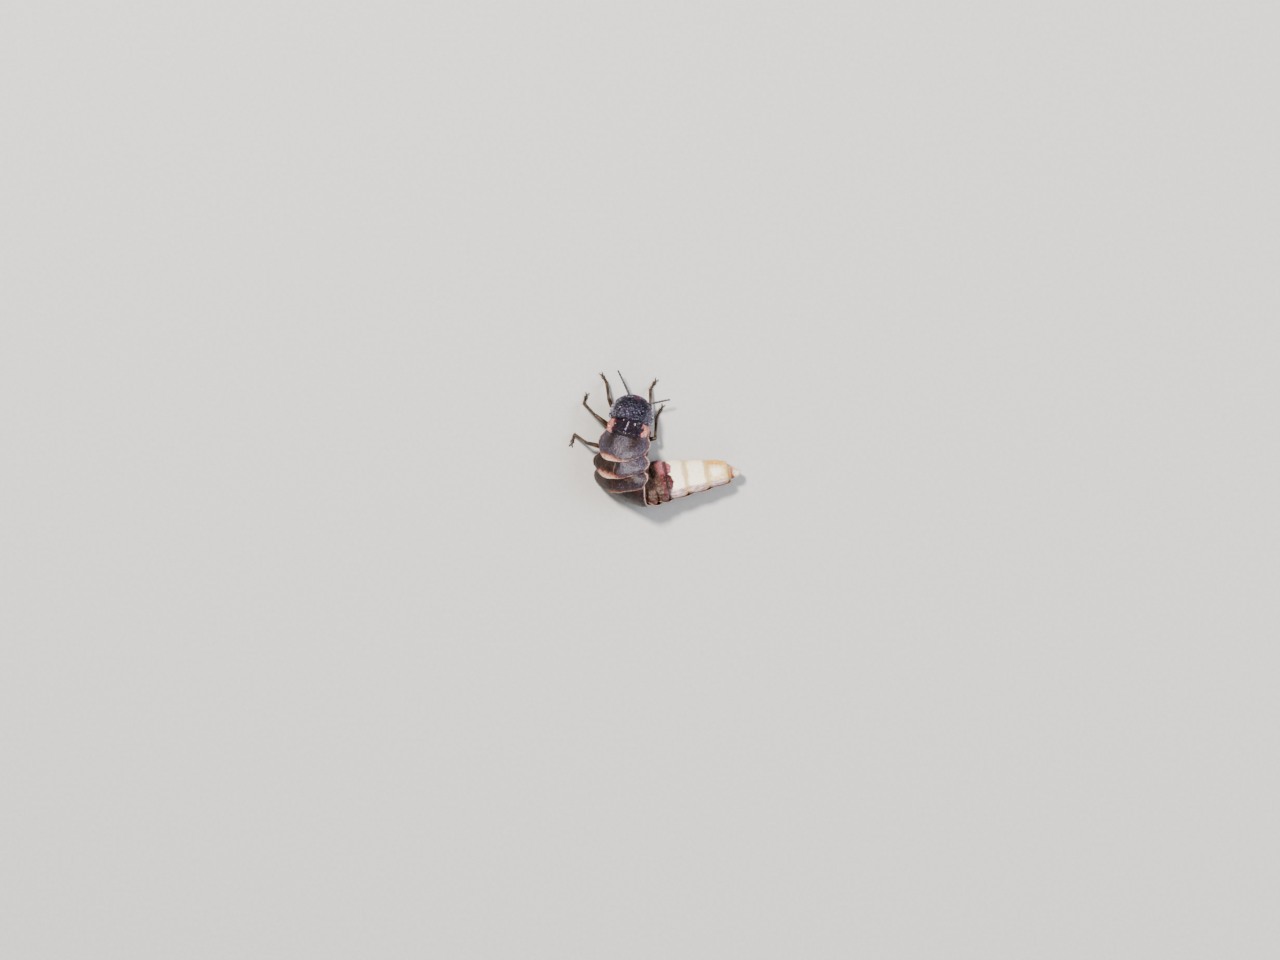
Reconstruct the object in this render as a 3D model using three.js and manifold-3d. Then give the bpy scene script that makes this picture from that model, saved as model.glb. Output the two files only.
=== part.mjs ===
// A female common glow-worm, the wingless firefly, as a still life-size model in millimetres.
// The thorax lies along -Y with the back up. The abdomen curls under and twists to the animal's
// right, so that the pale light organs under its last segments face up. +Z is up.
import * as THREE from 'three';
import { mergeVertices } from 'three/addons/utils/BufferGeometryUtils.js';
import Module from 'manifold-3d';

const wasm = await Module();
wasm.setup();

// Where the model stands: the floor is z = 0, and the middle of the footprint is the origin.
// Places below are measured from the middle of the hind thorax.
const FOOTPRINT_MIDDLE = [2.78, 1.15];
const BODY_START = [1.08, 5.29, 1.7];
const BODY_HEADING = -103;
const BODY_SLOPE = 7;

// The body from front to rear. Widths and heights are halves, at the segment's rear margin.
// bend curls the axis down towards the belly, twist turns the back to the animal's left, and
// swing moves it to the right, each in degrees over the segment's length.
const SEGMENTS = [
  { length: 2.8, halfWidth: 2.1, halfHeight: 1.15, bend: -10, twist: 0, swing: 0 },
  { length: 1.45, halfWidth: 2.05, halfHeight: 1.2, bend: -4, twist: 8, swing: 0 },
  { length: 2.05, halfWidth: 2.45, halfHeight: 1.3, bend: 20, twist: 17, swing: 0 },
  { length: 1.5, halfWidth: 2.8, halfHeight: 1.4, bend: 18, twist: 11, swing: 1 },
  { length: 1.5, halfWidth: 2.75, halfHeight: 1.45, bend: 46, twist: 12, swing: 17 },
  { length: 1.35, halfWidth: 2.5, halfHeight: 1.45, bend: 48, twist: 38, swing: 8 },
  { length: 1.3, halfWidth: 2.3, halfHeight: 1.4, bend: 12, twist: 13, swing: 0 },
  { length: 1.35, halfWidth: 2.05, halfHeight: 1.3, bend: -4, twist: 7, swing: 9 },
  { length: 1.85, halfWidth: 1.78, halfHeight: 1.2, bend: 0, twist: 0, swing: 0 },
  { length: 2.05, halfWidth: 1.5, halfHeight: 1.05, bend: 0, twist: -2, swing: -1 },
  { length: 2.0, halfWidth: 1.12, halfHeight: 0.8, bend: -2, twist: 0, swing: 3 },
  { length: 1.25, halfWidth: 0.3, halfHeight: 0.25, bend: 0, twist: 0, swing: 3 },
];
const FRONT_HALF_WIDTH = 1.2;
const FRONT_HALF_HEIGHT = 0.7;

// Plates of the back lap over one another like tiles. Apart from lap, gap and narrowing these are
// parts of the body's half height: the edge above the axis, the tuck of the front, the flare of the
// rear margin, and the thickness in front, in the middle and at the rear.
const LAP = 0.15;
const GAP = 0.25;
const FRONT_NARROWING = 0.12;
const PLATE = { edge: 0.2, tuck: 0.27, flare: 0.06, front: 0.18, middle: 0.3, rear: 0.13 };

// The body under the plates: its upper face below them, and the heights of its side.
const CORE = { top: 0.36, upperEdge: -0.5, lowerEdge: -0.68 };
const ARCH_POWER = 2.4;

// The last segment, at its root.
const TAIL = { halfWidth: 0.72, halfHeight: 0.42, taper: 0.85 };

// Pronotum: the shield over the head.
const SHIELD = {
  front: 0.12,
  length: 2.95,
  round: 2.2,
  halfWidth: 2.13,
  edge: 0.4,
  dome: 0.62,
  level: 0.62,
  notch: 0.15,
};

// Head, eyes and antennae, in body places: s along the axis, u to the right, v up.
const HEAD = { s: 1.3, v: -0.62, halfLength: 0.72, halfWidth: 0.85, halfHeight: 0.55 };
const EYE = { radius: 0.28, ahead: 0.3, out: 0.68, up: 0.02, socket: 0.1 };
const ANTENNA_JOINTS = 11;
const ANTENNA = { root: 0.24, tip: 0.16, out: 0.3, up: 0.12, gap: 0.25 };
const ANTENNAE = {
  left: [[0.35, 5.4, 1.4], [-0.38, 7.0, 1.6], [-0.68, 7.6, 1.65]],
  right: [[2.3, 4.42, 1.72], [3.3, 4.6, 1.8], [4.28, 4.8, 1.75]],
};

// Legs: the joints of each, from the hip at the thorax to the tip of the foot.
const LEG = { coxa: 0.34, trochanter: 0.27, femur: 0.33, knee: 0.25, tibia: 0.25, tarsus: 0.25, claw: 0.42 };
const TARSUS_PIECES = 5;
const LEGS = {
  front_left: { hip: [2.35, -0.9], knee: [-1.57, 4.95, 1.35], ankle: [-1.76, 6.48, 0.5], toe: [-2.2, 7.2, 0.2] },
  front_right: { hip: [2.35, 0.9], knee: [2.42, 4.2, 1.2], ankle: [2.42, 5.85, 0.45], toe: [2.9, 6.6, 0.2] },
  middle_left: { hip: [3.45, -0.8], knee: [-2.86, 3.33, 2.0], ankle: [-3.95, 4.48, 0.5], toe: [-3.7, 5.25, 0.2] },
  middle_right: { hip: [3.75, 0.8], knee: [2.9, 1.1, 1.9], ankle: [3.0, 3.05, 0.5], toe: [3.55, 4.15, 0.2] },
  hind_left: { hip: [5.3, -0.85], knee: [-3.62, 0.67, 2.0], ankle: [-4.86, 1.52, 0.5], toe: [-5.15, 0.62, 0.2] },
  hind_right: { hip: [4.9, 0.5], knee: [1.65, -0.75, 1.7], ankle: [0.4, -1.35, 0.45], toe: [-0.55, -1.75, 0.2] },
};

const STEP = 0.05;
const WELD = 1e-4;
const RIGHT_ANGLE = Math.PI / 2;

const stations = [0];
for (const segment of SEGMENTS) {
  stations.push(stations[stations.length - 1] + segment.length);
}
const BODY_LENGTH = stations[stations.length - 1];

function along(value, places, values) {
  if (value <= places[0]) {
    return values[0];
  }
  for (let i = 1; i < places.length; i++) {
    if (value <= places[i]) {
      const part = (value - places[i - 1]) / (places[i] - places[i - 1]);
      return THREE.MathUtils.lerp(values[i - 1], values[i], part);
    }
  }
  return values[values.length - 1];
}

const halfWidths = [FRONT_HALF_WIDTH, ...SEGMENTS.map((segment) => segment.halfWidth)];
const halfHeights = [FRONT_HALF_HEIGHT, ...SEGMENTS.map((segment) => segment.halfHeight)];
const halfWidthAt = (s) => along(s, stations, halfWidths);
const halfHeightAt = (s) => along(s, stations, halfHeights);

// The body's axis: each step turns the frame by the bend, twist and swing of its segment.
function bodyAxis() {
  const middles = SEGMENTS.map((segment, i) => stations[i] + segment.length / 2);
  const rate = (s, key) => THREE.MathUtils.degToRad(along(s, middles, SEGMENTS.map((g) => g[key] / g.length)));
  const heading = THREE.MathUtils.degToRad(BODY_HEADING);
  const slope = THREE.MathUtils.degToRad(BODY_SLOPE);
  const rearward = new THREE.Vector3(
    Math.cos(heading) * Math.cos(slope),
    Math.sin(heading) * Math.cos(slope),
    Math.sin(slope),
  );
  const right = new THREE.Vector3(-rearward.y, rearward.x, 0).normalize();
  const up = new THREE.Vector3().crossVectors(rearward, right);
  const place = new THREE.Vector3(...BODY_START);
  const steps = [];
  for (let s = 0; s <= BODY_LENGTH + STEP; s += STEP) {
    steps.push({ place: place.clone(), rearward: rearward.clone(), right: right.clone(), up: up.clone() });
    const turn = new THREE.Vector3()
      .addScaledVector(right, rate(s, 'bend') * STEP)
      .addScaledVector(rearward, rate(s, 'twist') * STEP)
      .addScaledVector(up, rate(s, 'swing') * STEP);
    const angle = turn.length();
    place.addScaledVector(rearward, STEP);
    if (angle > 0) {
      turn.normalize();
      rearward.applyAxisAngle(turn, angle);
      right.applyAxisAngle(turn, angle);
      up.applyAxisAngle(turn, angle);
    }
  }
  return steps;
}

const axis = bodyAxis();

// The point s along the body's axis, u to the animal's right and v towards its back.
function bodyPoint(s, u, v) {
  const index = THREE.MathUtils.clamp(s / STEP, 0, axis.length - 2);
  const low = axis[Math.floor(index)];
  const high = axis[Math.floor(index) + 1];
  const part = index - Math.floor(index);
  const right = low.right.clone().lerp(high.right, part);
  const up = low.up.clone().lerp(high.up, part);
  const point = low.place.clone().lerp(high.place, part);
  return point.addScaledVector(right, u).addScaledVector(up, v);
}

function bare(geometry) {
  const shape = geometry.clone();
  shape.deleteAttribute('normal');
  shape.deleteAttribute('uv');
  return mergeVertices(shape, WELD);
}

function solid(geometry) {
  const shape = bare(geometry);
  const mesh = new wasm.Mesh({
    numProp: 3,
    vertProperties: new Float32Array(shape.attributes.position.array),
    triVerts: new Uint32Array(shape.index.array),
  });
  return new wasm.Manifold(mesh);
}

function geometryOf(body) {
  const pieces = body.decompose();
  pieces.sort((a, b) => b.volume() - a.volume());
  const mesh = pieces[0].getMesh();
  const geometry = new THREE.BufferGeometry();
  geometry.setAttribute('position', new THREE.BufferAttribute(new Float32Array(mesh.vertProperties), 3));
  geometry.setIndex(new THREE.BufferAttribute(new Uint32Array(mesh.triVerts), 1));
  return geometry;
}

function joined(geometries) {
  const bodies = geometries.map(solid);
  return bodies.reduce((whole, body) => whole.add(body));
}

// What rests on the floor is flat there.
const ROOM = 40;
function aboveFloor(body) {
  const room = new THREE.BoxGeometry(ROOM, ROOM, ROOM);
  room.translate(0, 0, ROOM / 2);
  return geometryOf(body.intersect(solid(room)));
}

// A closed slab: across runs from -1 at the left edge to 1 at the right, back from 0 to 1.
function slab(columns, rows, shape) {
  const geometry = new THREE.BoxGeometry(2, 1, 1, columns, 1, rows);
  const position = geometry.attributes.position;
  for (let i = 0; i < position.count; i++) {
    const across = Math.sin(position.getX(i) * RIGHT_ANGLE);
    const [s, u, v] = shape(across, position.getZ(i) + 0.5, position.getY(i) > 0);
    const point = bodyPoint(s, u, v);
    position.setXYZ(i, point.x, point.y, point.z);
  }
  return bare(geometry);
}

// A plate of the back, arched across, its front tucked under the plate ahead of it.
function backPlate({ from, to, tuck = PLATE.tuck, lap = LAP, width = 1, bulge = 0.1, corner = 0.2 }) {
  const columns = 14;
  const rows = 5;
  return slab(columns, rows, (across, back, top) => {
    const arch = 1 - Math.abs(across) ** ARCH_POWER;
    const cornerBack = corner * Math.abs(across) ** 3 * back;
    const s = THREE.MathUtils.lerp(from - LAP, to + lap, back) + cornerBack;
    const level = THREE.MathUtils.lerp(-tuck, PLATE.flare, THREE.MathUtils.smoothstep(back, 0, 1));
    const swell = width * (1 + bulge * Math.sin(Math.PI * back) - FRONT_NARROWING * (1 - back) ** 2);
    const crown = 4 * back * (1 - back) * (PLATE.middle - (PLATE.front + PLATE.rear) / 2);
    const thickness = THREE.MathUtils.lerp(PLATE.front, PLATE.rear, back) + crown;
    const height = THREE.MathUtils.lerp(PLATE.edge, 1, arch) + level;
    const half = halfHeightAt(s);
    return [s, halfWidthAt(s) * swell * across, half * (top ? height : height - thickness)];
  });
}

// The body under the plates, from its upper face below them to the belly.
function core({ from, to, width, top: crown = CORE.top, columns = 12, rows = 4 }) {
  return slab(columns, rows, (across, back, top) => {
    const arch = 1 - Math.abs(across) ** ARCH_POWER;
    const s = THREE.MathUtils.lerp(from + GAP / 2, to - GAP / 2, back);
    const height = top
      ? THREE.MathUtils.lerp(CORE.upperEdge, crown, arch)
      : THREE.MathUtils.lerp(CORE.lowerEdge, -1, arch);
    return [s, halfWidthAt(s) * width * across, halfHeightAt(s) * height];
  });
}

// The shield: round in front, square behind, domed over the head and thin at its margin.
function shield() {
  const { front: start, length, round, halfWidth, edge, dome, level, notch } = SHIELD;
  return slab(20, 8, (across, back, top) => {
    const front = start + round * (1 - Math.sqrt(Math.max(0, 1 - across * across)));
    const rear = length - notch * (1 - across * across);
    const s = THREE.MathUtils.lerp(front, rear, back);
    const out = Math.hypot(across, Math.max(0, (round - s) / round));
    const rise = dome * Math.max(0, 1 - out ** 2.2);
    const v = level + rise;
    return [s, halfWidth * across, top ? v : v - edge - 0.1 * rise];
  });
}

// The last small segment, a flattened cone that comes out between the last plates.
function tailTip() {
  const [tailStart, tailEnd] = stations.slice(-2);
  return slab(8, 5, (across, back, top) => {
    const s = THREE.MathUtils.lerp(tailStart + LAP, tailEnd, back);
    const taper = Math.sqrt(1 - TAIL.taper * back);
    const height = TAIL.halfHeight * taper * (1 - 0.6 * Math.abs(across) ** ARCH_POWER);
    return [s, TAIL.halfWidth * taper * across, top ? height : -height];
  });
}

// A turned piece from one point to another, with its radii at even stations.
function spindle(start, end, radii, sides = 8) {
  const direction = end.clone().sub(start);
  const profile = [new THREE.Vector2(0, 0)];
  radii.forEach((radius, i) => {
    profile.push(new THREE.Vector2(radius, (direction.length() * i) / (radii.length - 1)));
  });
  profile.push(new THREE.Vector2(0, direction.length()));
  const geometry = new THREE.LatheGeometry(profile, sides);
  const turn = new THREE.Quaternion().setFromUnitVectors(new THREE.Vector3(0, 1, 0), direction.normalize());
  geometry.applyQuaternion(turn);
  geometry.translate(start.x, start.y, start.z);
  return geometry;
}

function headBody() {
  const { s, v, halfLength, halfWidth, halfHeight } = HEAD;
  const skull = new THREE.SphereGeometry(1, 18, 12);
  const position = skull.attributes.position;
  for (let i = 0; i < position.count; i++) {
    const point = bodyPoint(
      s + halfLength * position.getZ(i),
      halfWidth * position.getX(i),
      v + halfHeight * position.getY(i),
    );
    position.setXYZ(i, point.x, point.y, point.z);
  }
  const jaws = [-1, 1].flatMap((side) => {
    const root = bodyPoint(s - 0.45 * halfLength, side * 0.42, v - 0.25);
    const bow = bodyPoint(s - 1.15 * halfLength, side * 0.4, v - 0.34);
    const tip = bodyPoint(s - 1.4 * halfLength, side * 0.1, v - 0.36);
    const palp = bodyPoint(s - 0.85 * halfLength, side * 0.3, v - 0.72);
    return [
      spindle(root, bow, [0.16, 0.15, 0.11], 6),
      spindle(bow, tip, [0.11, 0.08, 0.03], 6),
      spindle(root, palp, [0.13, 0.14, 0.11], 6),
    ];
  });
  return joined([skull, ...jaws]);
}

function eyeCentre(side) {
  return bodyPoint(HEAD.s - EYE.ahead, side * EYE.out, HEAD.v + EYE.up);
}

function ball(centre, radius, columns, rows) {
  const geometry = new THREE.SphereGeometry(radius, columns, rows);
  geometry.translate(centre.x, centre.y, centre.z);
  return geometry;
}

function head() {
  const sockets = [-1, 1].map((side) => solid(ball(eyeCentre(side), EYE.radius + EYE.socket, 12, 8)));
  return geometryOf(sockets.reduce((body, socket) => body.subtract(socket), headBody()));
}

function antenna(sign, points) {
  const face = HEAD.halfLength * Math.sqrt(1 - (ANTENNA.out / HEAD.halfWidth) ** 2);
  const root = bodyPoint(HEAD.s - face - ANTENNA.gap, sign * ANTENNA.out, HEAD.v + ANTENNA.up);
  const curve = new THREE.CatmullRomCurve3([root, ...points.map((point) => new THREE.Vector3(...point))]);
  const joints = [];
  for (let i = 0; i < ANTENNA_JOINTS; i++) {
    const radius = THREE.MathUtils.lerp(ANTENNA.root, ANTENNA.tip, i / (ANTENNA_JOINTS - 1));
    const start = curve.getPointAt(i / ANTENNA_JOINTS);
    const end = curve.getPointAt(Math.min(1, (i + 1.15) / ANTENNA_JOINTS));
    joints.push(spindle(start, end, [0.72 * radius, 0.95 * radius, radius, 0.8 * radius], 7));
  }
  return geometryOf(joined(joints));
}

// A leg of coxa, trochanter, femur, tibia, five tarsal pieces with a lobed fourth, and two claws.
function leg({ hip, knee, ankle, toe }) {
  const [s, u] = hip;
  const belly = -halfHeightAt(s) - GAP;
  const root = bodyPoint(s, u, belly);
  const joint = bodyPoint(s, 1.35 * u, belly - 0.35);
  const kneePoint = new THREE.Vector3(...knee);
  const anklePoint = new THREE.Vector3(...ankle);
  const toePoint = new THREE.Vector3(...toe);
  const pieces = [
    spindle(root, joint, [0.8 * LEG.coxa, LEG.coxa, LEG.trochanter]),
    spindle(joint, kneePoint, [LEG.trochanter, 0.95 * LEG.femur, LEG.femur, 0.9 * LEG.femur, LEG.knee]),
    spindle(kneePoint, anklePoint, [LEG.knee, LEG.tibia, 0.94 * LEG.tibia, LEG.tibia]),
  ];
  const heel = anklePoint.clone().lerp(toePoint, 0.3);
  heel.z = toePoint.z;
  const walk = new THREE.CatmullRomCurve3([anklePoint, heel, toePoint]);
  for (let i = 0; i < TARSUS_PIECES; i++) {
    const start = walk.getPointAt(i / TARSUS_PIECES);
    const end = walk.getPointAt(Math.min(1, (i + 1.2) / TARSUS_PIECES));
    const lobed = i === TARSUS_PIECES - 2 ? 1.25 : 1;
    const radius = LEG.tarsus * lobed * (1 - 0.06 * i);
    pieces.push(spindle(start, end, [0.75 * radius, radius, radius], 7));
  }
  const forward = walk.getTangentAt(1).setZ(0).normalize();
  const aside = new THREE.Vector3(-forward.y, forward.x, 0);
  for (const side of [-1, 1]) {
    const tip = toePoint.clone();
    tip.addScaledVector(forward, LEG.claw);
    tip.addScaledVector(aside, side * 0.5 * LEG.claw);
    tip.z = 0.08;
    pieces.push(spindle(toePoint, tip, [0.13, 0.11, 0.03], 5));
  }
  return aboveFloor(joined(pieces));
}

const COLOURS = {
  shield: { color: 0x2b2530, roughness: 0.45 },
  back: { color: 0x33262a, roughness: 0.5 },
  flank: { color: 0x6b3a36, roughness: 0.6 },
  light: { color: 0xf3ead0, roughness: 0.55 },
  amber: { color: 0xc99a4e, roughness: 0.5 },
  head: { color: 0x221b1c, roughness: 0.4 },
  eye: { color: 0x0c0b0d, roughness: 0.15 },
  antenna: { color: 0x3a3540, roughness: 0.6 },
  leg: { color: 0x3b2a1e, roughness: 0.4 },
};

const glowWorm = new THREE.Group();
glowWorm.position.set(-FOOTPRINT_MIDDLE[0], -FOOTPRINT_MIDDLE[1], 0);

function addNode(name, geometry, finish) {
  const shape = bare(geometry);
  shape.computeVertexNormals();
  const mesh = new THREE.Mesh(shape, new THREE.MeshStandardMaterial({ ...COLOURS[finish], metalness: 0 }));
  mesh.name = name;
  glowWorm.add(mesh);
}

// Thorax
const [, mesoStart, metaStart, abdomenStart] = stations;
addNode('pronotum', shield(), 'shield');
addNode('prothorax', core({ from: 2.05, to: mesoStart, width: 0.68, top: 0.05 }), 'flank');
const mesonotum = { from: mesoStart, to: metaStart, tuck: 0.45, width: 0.93, bulge: 0.02, corner: 0 };
addNode('mesonotum', backPlate(mesonotum), 'back');
addNode('mesothorax', core({ from: mesoStart, to: metaStart, width: 0.78, top: 0.06 }), 'flank');
const metanotum = { from: metaStart, to: abdomenStart, tuck: 0.36, lap: 0.45, bulge: 0.2, corner: -0.6 };
addNode('metanotum', backPlate(metanotum), 'back');
addNode('metathorax', core({ from: metaStart, to: abdomenStart, width: 0.8, top: 0.26 }), 'flank');

// Abdomen: eight plates on the back, and the belly below them.
const FIRST_TERGITE = 3;
const TERGITE_BULGES = [0.22, 0.18, 0.12, 0.1, 0.1, 0.1, 0.1, 0.08];
TERGITE_BULGES.forEach((bulge, i) => {
  const from = stations[FIRST_TERGITE + i];
  const to = stations[FIRST_TERGITE + i + 1];
  const tuck = i === 0 ? 0.36 : PLATE.tuck;
  addNode(`tergite_${i + 1}`, aboveFloor(solid(backPlate({ from, to, tuck, bulge }))), 'back');
});
const BELLY = [
  { name: 'abdomen_base', first: 1, last: 1, finish: 'flank', rows: 4 },
  { name: 'abdomen_bend', first: 2, last: 4, finish: 'flank', rows: 12 },
  { name: 'sternite_5', first: 5, last: 5, finish: 'flank', rows: 4 },
  { name: 'sternite_6', first: 6, last: 6, finish: 'light', rows: 4 },
  { name: 'sternite_7', first: 7, last: 7, finish: 'light', rows: 4 },
  { name: 'sternite_8', first: 8, last: 8, finish: 'amber', rows: 4 },
];
for (const { name, first, last, finish, rows } of BELLY) {
  const from = stations[FIRST_TERGITE + first - 1];
  const to = stations[FIRST_TERGITE + last];
  addNode(name, aboveFloor(solid(core({ from, to, width: 0.9, rows }))), finish);
}
addNode('tail_tip', tailTip(), 'amber');

// Head
addNode('head', head(), 'head');
for (const [side, sign] of [['left', -1], ['right', 1]]) {
  addNode(`eye_${side}`, ball(eyeCentre(sign), EYE.radius, 12, 8), 'eye');
  addNode(`antenna_${side}`, antenna(sign, ANTENNAE[side]), 'antenna');
}

for (const [name, joints] of Object.entries(LEGS)) {
  addNode(`leg_${name}`, leg(joints), 'leg');
}

export default glowWorm;
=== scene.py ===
import math

import bpy
import numpy as np
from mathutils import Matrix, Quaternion, Vector, noise


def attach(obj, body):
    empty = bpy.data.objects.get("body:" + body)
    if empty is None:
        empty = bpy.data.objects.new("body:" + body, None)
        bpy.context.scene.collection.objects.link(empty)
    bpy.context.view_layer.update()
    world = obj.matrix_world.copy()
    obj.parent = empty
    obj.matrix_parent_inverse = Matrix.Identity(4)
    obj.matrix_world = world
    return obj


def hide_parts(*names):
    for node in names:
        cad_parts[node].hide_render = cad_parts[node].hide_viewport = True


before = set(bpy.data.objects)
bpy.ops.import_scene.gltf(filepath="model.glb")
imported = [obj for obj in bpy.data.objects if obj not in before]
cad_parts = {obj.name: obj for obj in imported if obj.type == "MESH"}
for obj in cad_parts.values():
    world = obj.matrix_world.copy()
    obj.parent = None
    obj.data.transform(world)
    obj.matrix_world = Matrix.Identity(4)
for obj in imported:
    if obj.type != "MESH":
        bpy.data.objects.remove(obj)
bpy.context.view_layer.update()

# Back plates
# Ten overlapping tiles of hard, dark cuticle: two behind the shield and eight on the abdomen. Each
# is arched, tucked under the one ahead, and thinner and paler along its side and hind margins.
MM = 0.001
FLOOR = 0.004
# Length, half width and half height at the rear; then bend, twist and swing in degrees.
SEGMENTS = {
    "prothorax": (2.8, 2.1, 1.15, -10, 0, 0),
    "mesothorax": (1.45, 2.05, 1.2, -4, 8, 0),
    "metathorax": (2.05, 2.45, 1.3, 20, 17, 0),
    "abdomen 1": (1.5, 2.8, 1.4, 18, 11, 1),
    "abdomen 2": (1.5, 2.75, 1.45, 46, 12, 17),
    "abdomen 3": (1.35, 2.5, 1.45, 48, 38, 8),
    "abdomen 4": (1.3, 2.3, 1.4, 12, 13, 0),
    "abdomen 5": (1.35, 2.05, 1.3, -4, 7, 9),
    "abdomen 6": (1.85, 1.78, 1.2, 0, 0, 0),
    "abdomen 7": (2.05, 1.5, 1.05, 0, -2, -1),
    "abdomen 8": (2.0, 1.12, 0.8, -2, 0, 3),
    "tail tip": (1.25, 0.3, 0.25, 0, 0, 3),
}
FRONT_HALF_WIDTH = 1.2
FRONT_HALF_HEIGHT = 0.7
FOOTPRINT_MIDDLE = np.array([2.78, 1.15, 0.0])
BODY_START = Vector((1.08, 5.29, 1.7))
BODY_HEADING = math.radians(-103)
BODY_SLOPE = math.radians(7)
AXIS_STEP = 0.05

lengths, rear_half_widths, rear_half_heights, *segment_turns = np.array(list(SEGMENTS.values())).T
stations = np.concatenate([[0.0], np.cumsum(lengths)])


def half_width(s):
    return np.interp(s, stations, [FRONT_HALF_WIDTH, *rear_half_widths])


def half_height(s):
    return np.interp(s, stations, [FRONT_HALF_HEIGHT, *rear_half_heights])


def body_axis():
    # Each step turns the frame by the bend, twist and swing of the segment that it is in.
    middles = stations[:-1] + lengths / 2
    places = np.arange(0.0, stations[-1] + AXIS_STEP, AXIS_STEP)
    rates = [np.radians(turn) / lengths for turn in segment_turns]
    bends, twists, swings = [np.interp(places, middles, rate) for rate in rates]
    rearward = Vector((
        math.cos(BODY_HEADING) * math.cos(BODY_SLOPE),
        math.sin(BODY_HEADING) * math.cos(BODY_SLOPE),
        math.sin(BODY_SLOPE),
    ))
    right = Vector((-rearward.y, rearward.x, 0)).normalized()
    up = rearward.cross(right)
    place = BODY_START.copy()
    rows = []
    for bend, twist, swing in zip(bends, twists, swings):
        rows.append([*place, *right, *up, *rearward])
        turn = right * bend + rearward * twist + up * swing
        place = place + rearward * AXIS_STEP
        spin = Quaternion(turn.normalized(), turn.length * AXIS_STEP)
        right, up, rearward = [spin @ direction for direction in (right, up, rearward)]
    return places, np.array(rows)


axis_places, axis_rows = body_axis()


def body_frame(s):
    # The axis's place and its right, up and rearward directions at s.
    columns = np.stack([np.interp(s, axis_places, axis_rows[:, i]) for i in range(12)], axis=-1)
    place, right, up, rearward = np.split(columns, 4, axis=-1)
    return place - FOOTPRINT_MIDDLE, right, up, rearward


def body_point(s, u, v):
    # s along the body's axis, u to the animal's right and v towards its back.
    place, right, up, _ = body_frame(s)
    return place + right * np.asarray(u)[..., None] + up * np.asarray(v)[..., None]


def ripple(points, size, seed):
    # Smooth noise from -1 to 1 with waves of about that size.
    flat = points.reshape(-1, 3) / size + seed
    return np.array([noise.noise(point) for point in flat]).reshape(points.shape[:-1])


def smooth(low, high, value):
    part = np.clip((value - low) / (high - low), 0.0, 1.0)
    return part * part * (3 - 2 * part)


def ridge(value, middle, width):
    return np.exp(-((value - middle) / width) ** 2)


def ridges(value, rows):
    # Rounded ridges, and grooves where the height is below 0.
    return sum(height * ridge(value, middle, width) for height, middle, width in rows)


def rim_roundness(margin, radius):
    # How full an edge is, from 0 at its margin to 1 where the rounding ends.
    part = np.clip(margin / radius, 0.0, 1.0)
    return np.sqrt(1 - (1 - part) ** 2)


def grid_quads(rows, columns, wraps):
    # Faces of a grid of points, numbered row by row.
    across = np.arange(columns if wraps else columns - 1)
    row, column = np.meshgrid(np.arange(rows - 1), across, indexing="ij")
    after = (column + 1) % columns
    below = (row + 1) * columns
    corners = [row * columns + column, row * columns + after, below + after, below + column]
    return np.stack([corner.ravel() for corner in corners], axis=1)


def slab(rows, columns, shape):
    # A closed plate: shape gives its upper and lower face from across, -1 to 1, and back, 0 to 1.
    ends = 0.5 - 0.5 * np.cos(np.linspace(0, math.pi, rows))
    back, across = np.meshgrid(ends, np.sin(np.linspace(-1, 1, columns) * math.pi / 2), indexing="ij")
    s, u, upper, lower, marks = shape(across, back)
    inside = np.zeros((rows, columns), dtype=bool)
    inside[1:-1, 1:-1] = True

    def over_and_under(over, under):
        # Every point of the upper face, then those of the lower face inside the shared rim.
        return np.concatenate([over.reshape(rows * columns, *over.shape[2:]), under[inside]])

    below = np.arange(rows * columns).reshape(rows, columns)
    below[inside] = rows * columns + np.arange(inside.sum())
    points = over_and_under(body_point(s, u, upper), body_point(s, u, lower))
    points[:, 2] = np.maximum(points[:, 2], FLOOR)
    quads = grid_quads(rows, columns, False)
    rearward = body_frame(s)[3]
    marks = {**marks, "wrap_across": across * 0.5 + 0.5, "wrap_along": s / stations[-1]}
    return {
        "points": points,
        "quads": np.concatenate([quads[:, ::-1], below.ravel()[quads]]),
        "outer": len(quads),
        "lie": over_and_under(rearward, rearward),
        "marks": {mark: over_and_under(values, values) for mark, values in marks.items()},
    }


def placed(name, data):
    thing = bpy.data.objects.new(name, data)
    bpy.context.scene.collection.objects.link(thing)
    return thing


def smooth_mesh(name, points, faces, finish):
    # A mesh object from points in millimetres.
    mesh = bpy.data.meshes.new(name)
    mesh.from_pydata((points * MM).tolist(), [], faces)
    mesh.polygons.foreach_set("use_smooth", [True] * len(mesh.polygons))
    mesh.materials.append(finish)
    return placed(name, mesh)


def build(name, shell, finish):
    # A piece from a shell, with what its material reads kept at each point.
    piece = smooth_mesh(name, shell["points"], shell["quads"].tolist() + shell.get("caps", []), finish)
    for mark, values in shell["marks"].items():
        attribute = piece.data.attributes.new(mark, "FLOAT", "POINT")
        attribute.data.foreach_set("value", values.astype(np.float32))
    return piece


def linear(colour):
    # An sRGB hex colour as linear RGBA.
    channels = [((colour >> shift) & 255) / 255 for shift in (16, 8, 0)]
    return [c / 12.92 if c <= 0.04045 else ((c + 0.055) / 1.055) ** 2.4 for c in channels] + [1.0]


def add_node(tree, kind, feeds=None, out=0, **settings):
    # One node with its settings; each feed is a value, or the socket that it comes from.
    node = tree.nodes.new("ShaderNode" + kind)
    for key, value in settings.items():
        setattr(node, key, value)
    for key, value in (feeds or {}).items():
        if isinstance(value, bpy.types.NodeSocket):
            tree.links.new(value, node.inputs[key])
        else:
            node.inputs[key].default_value = value
    return node.outputs[out] if node.outputs else node


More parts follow.
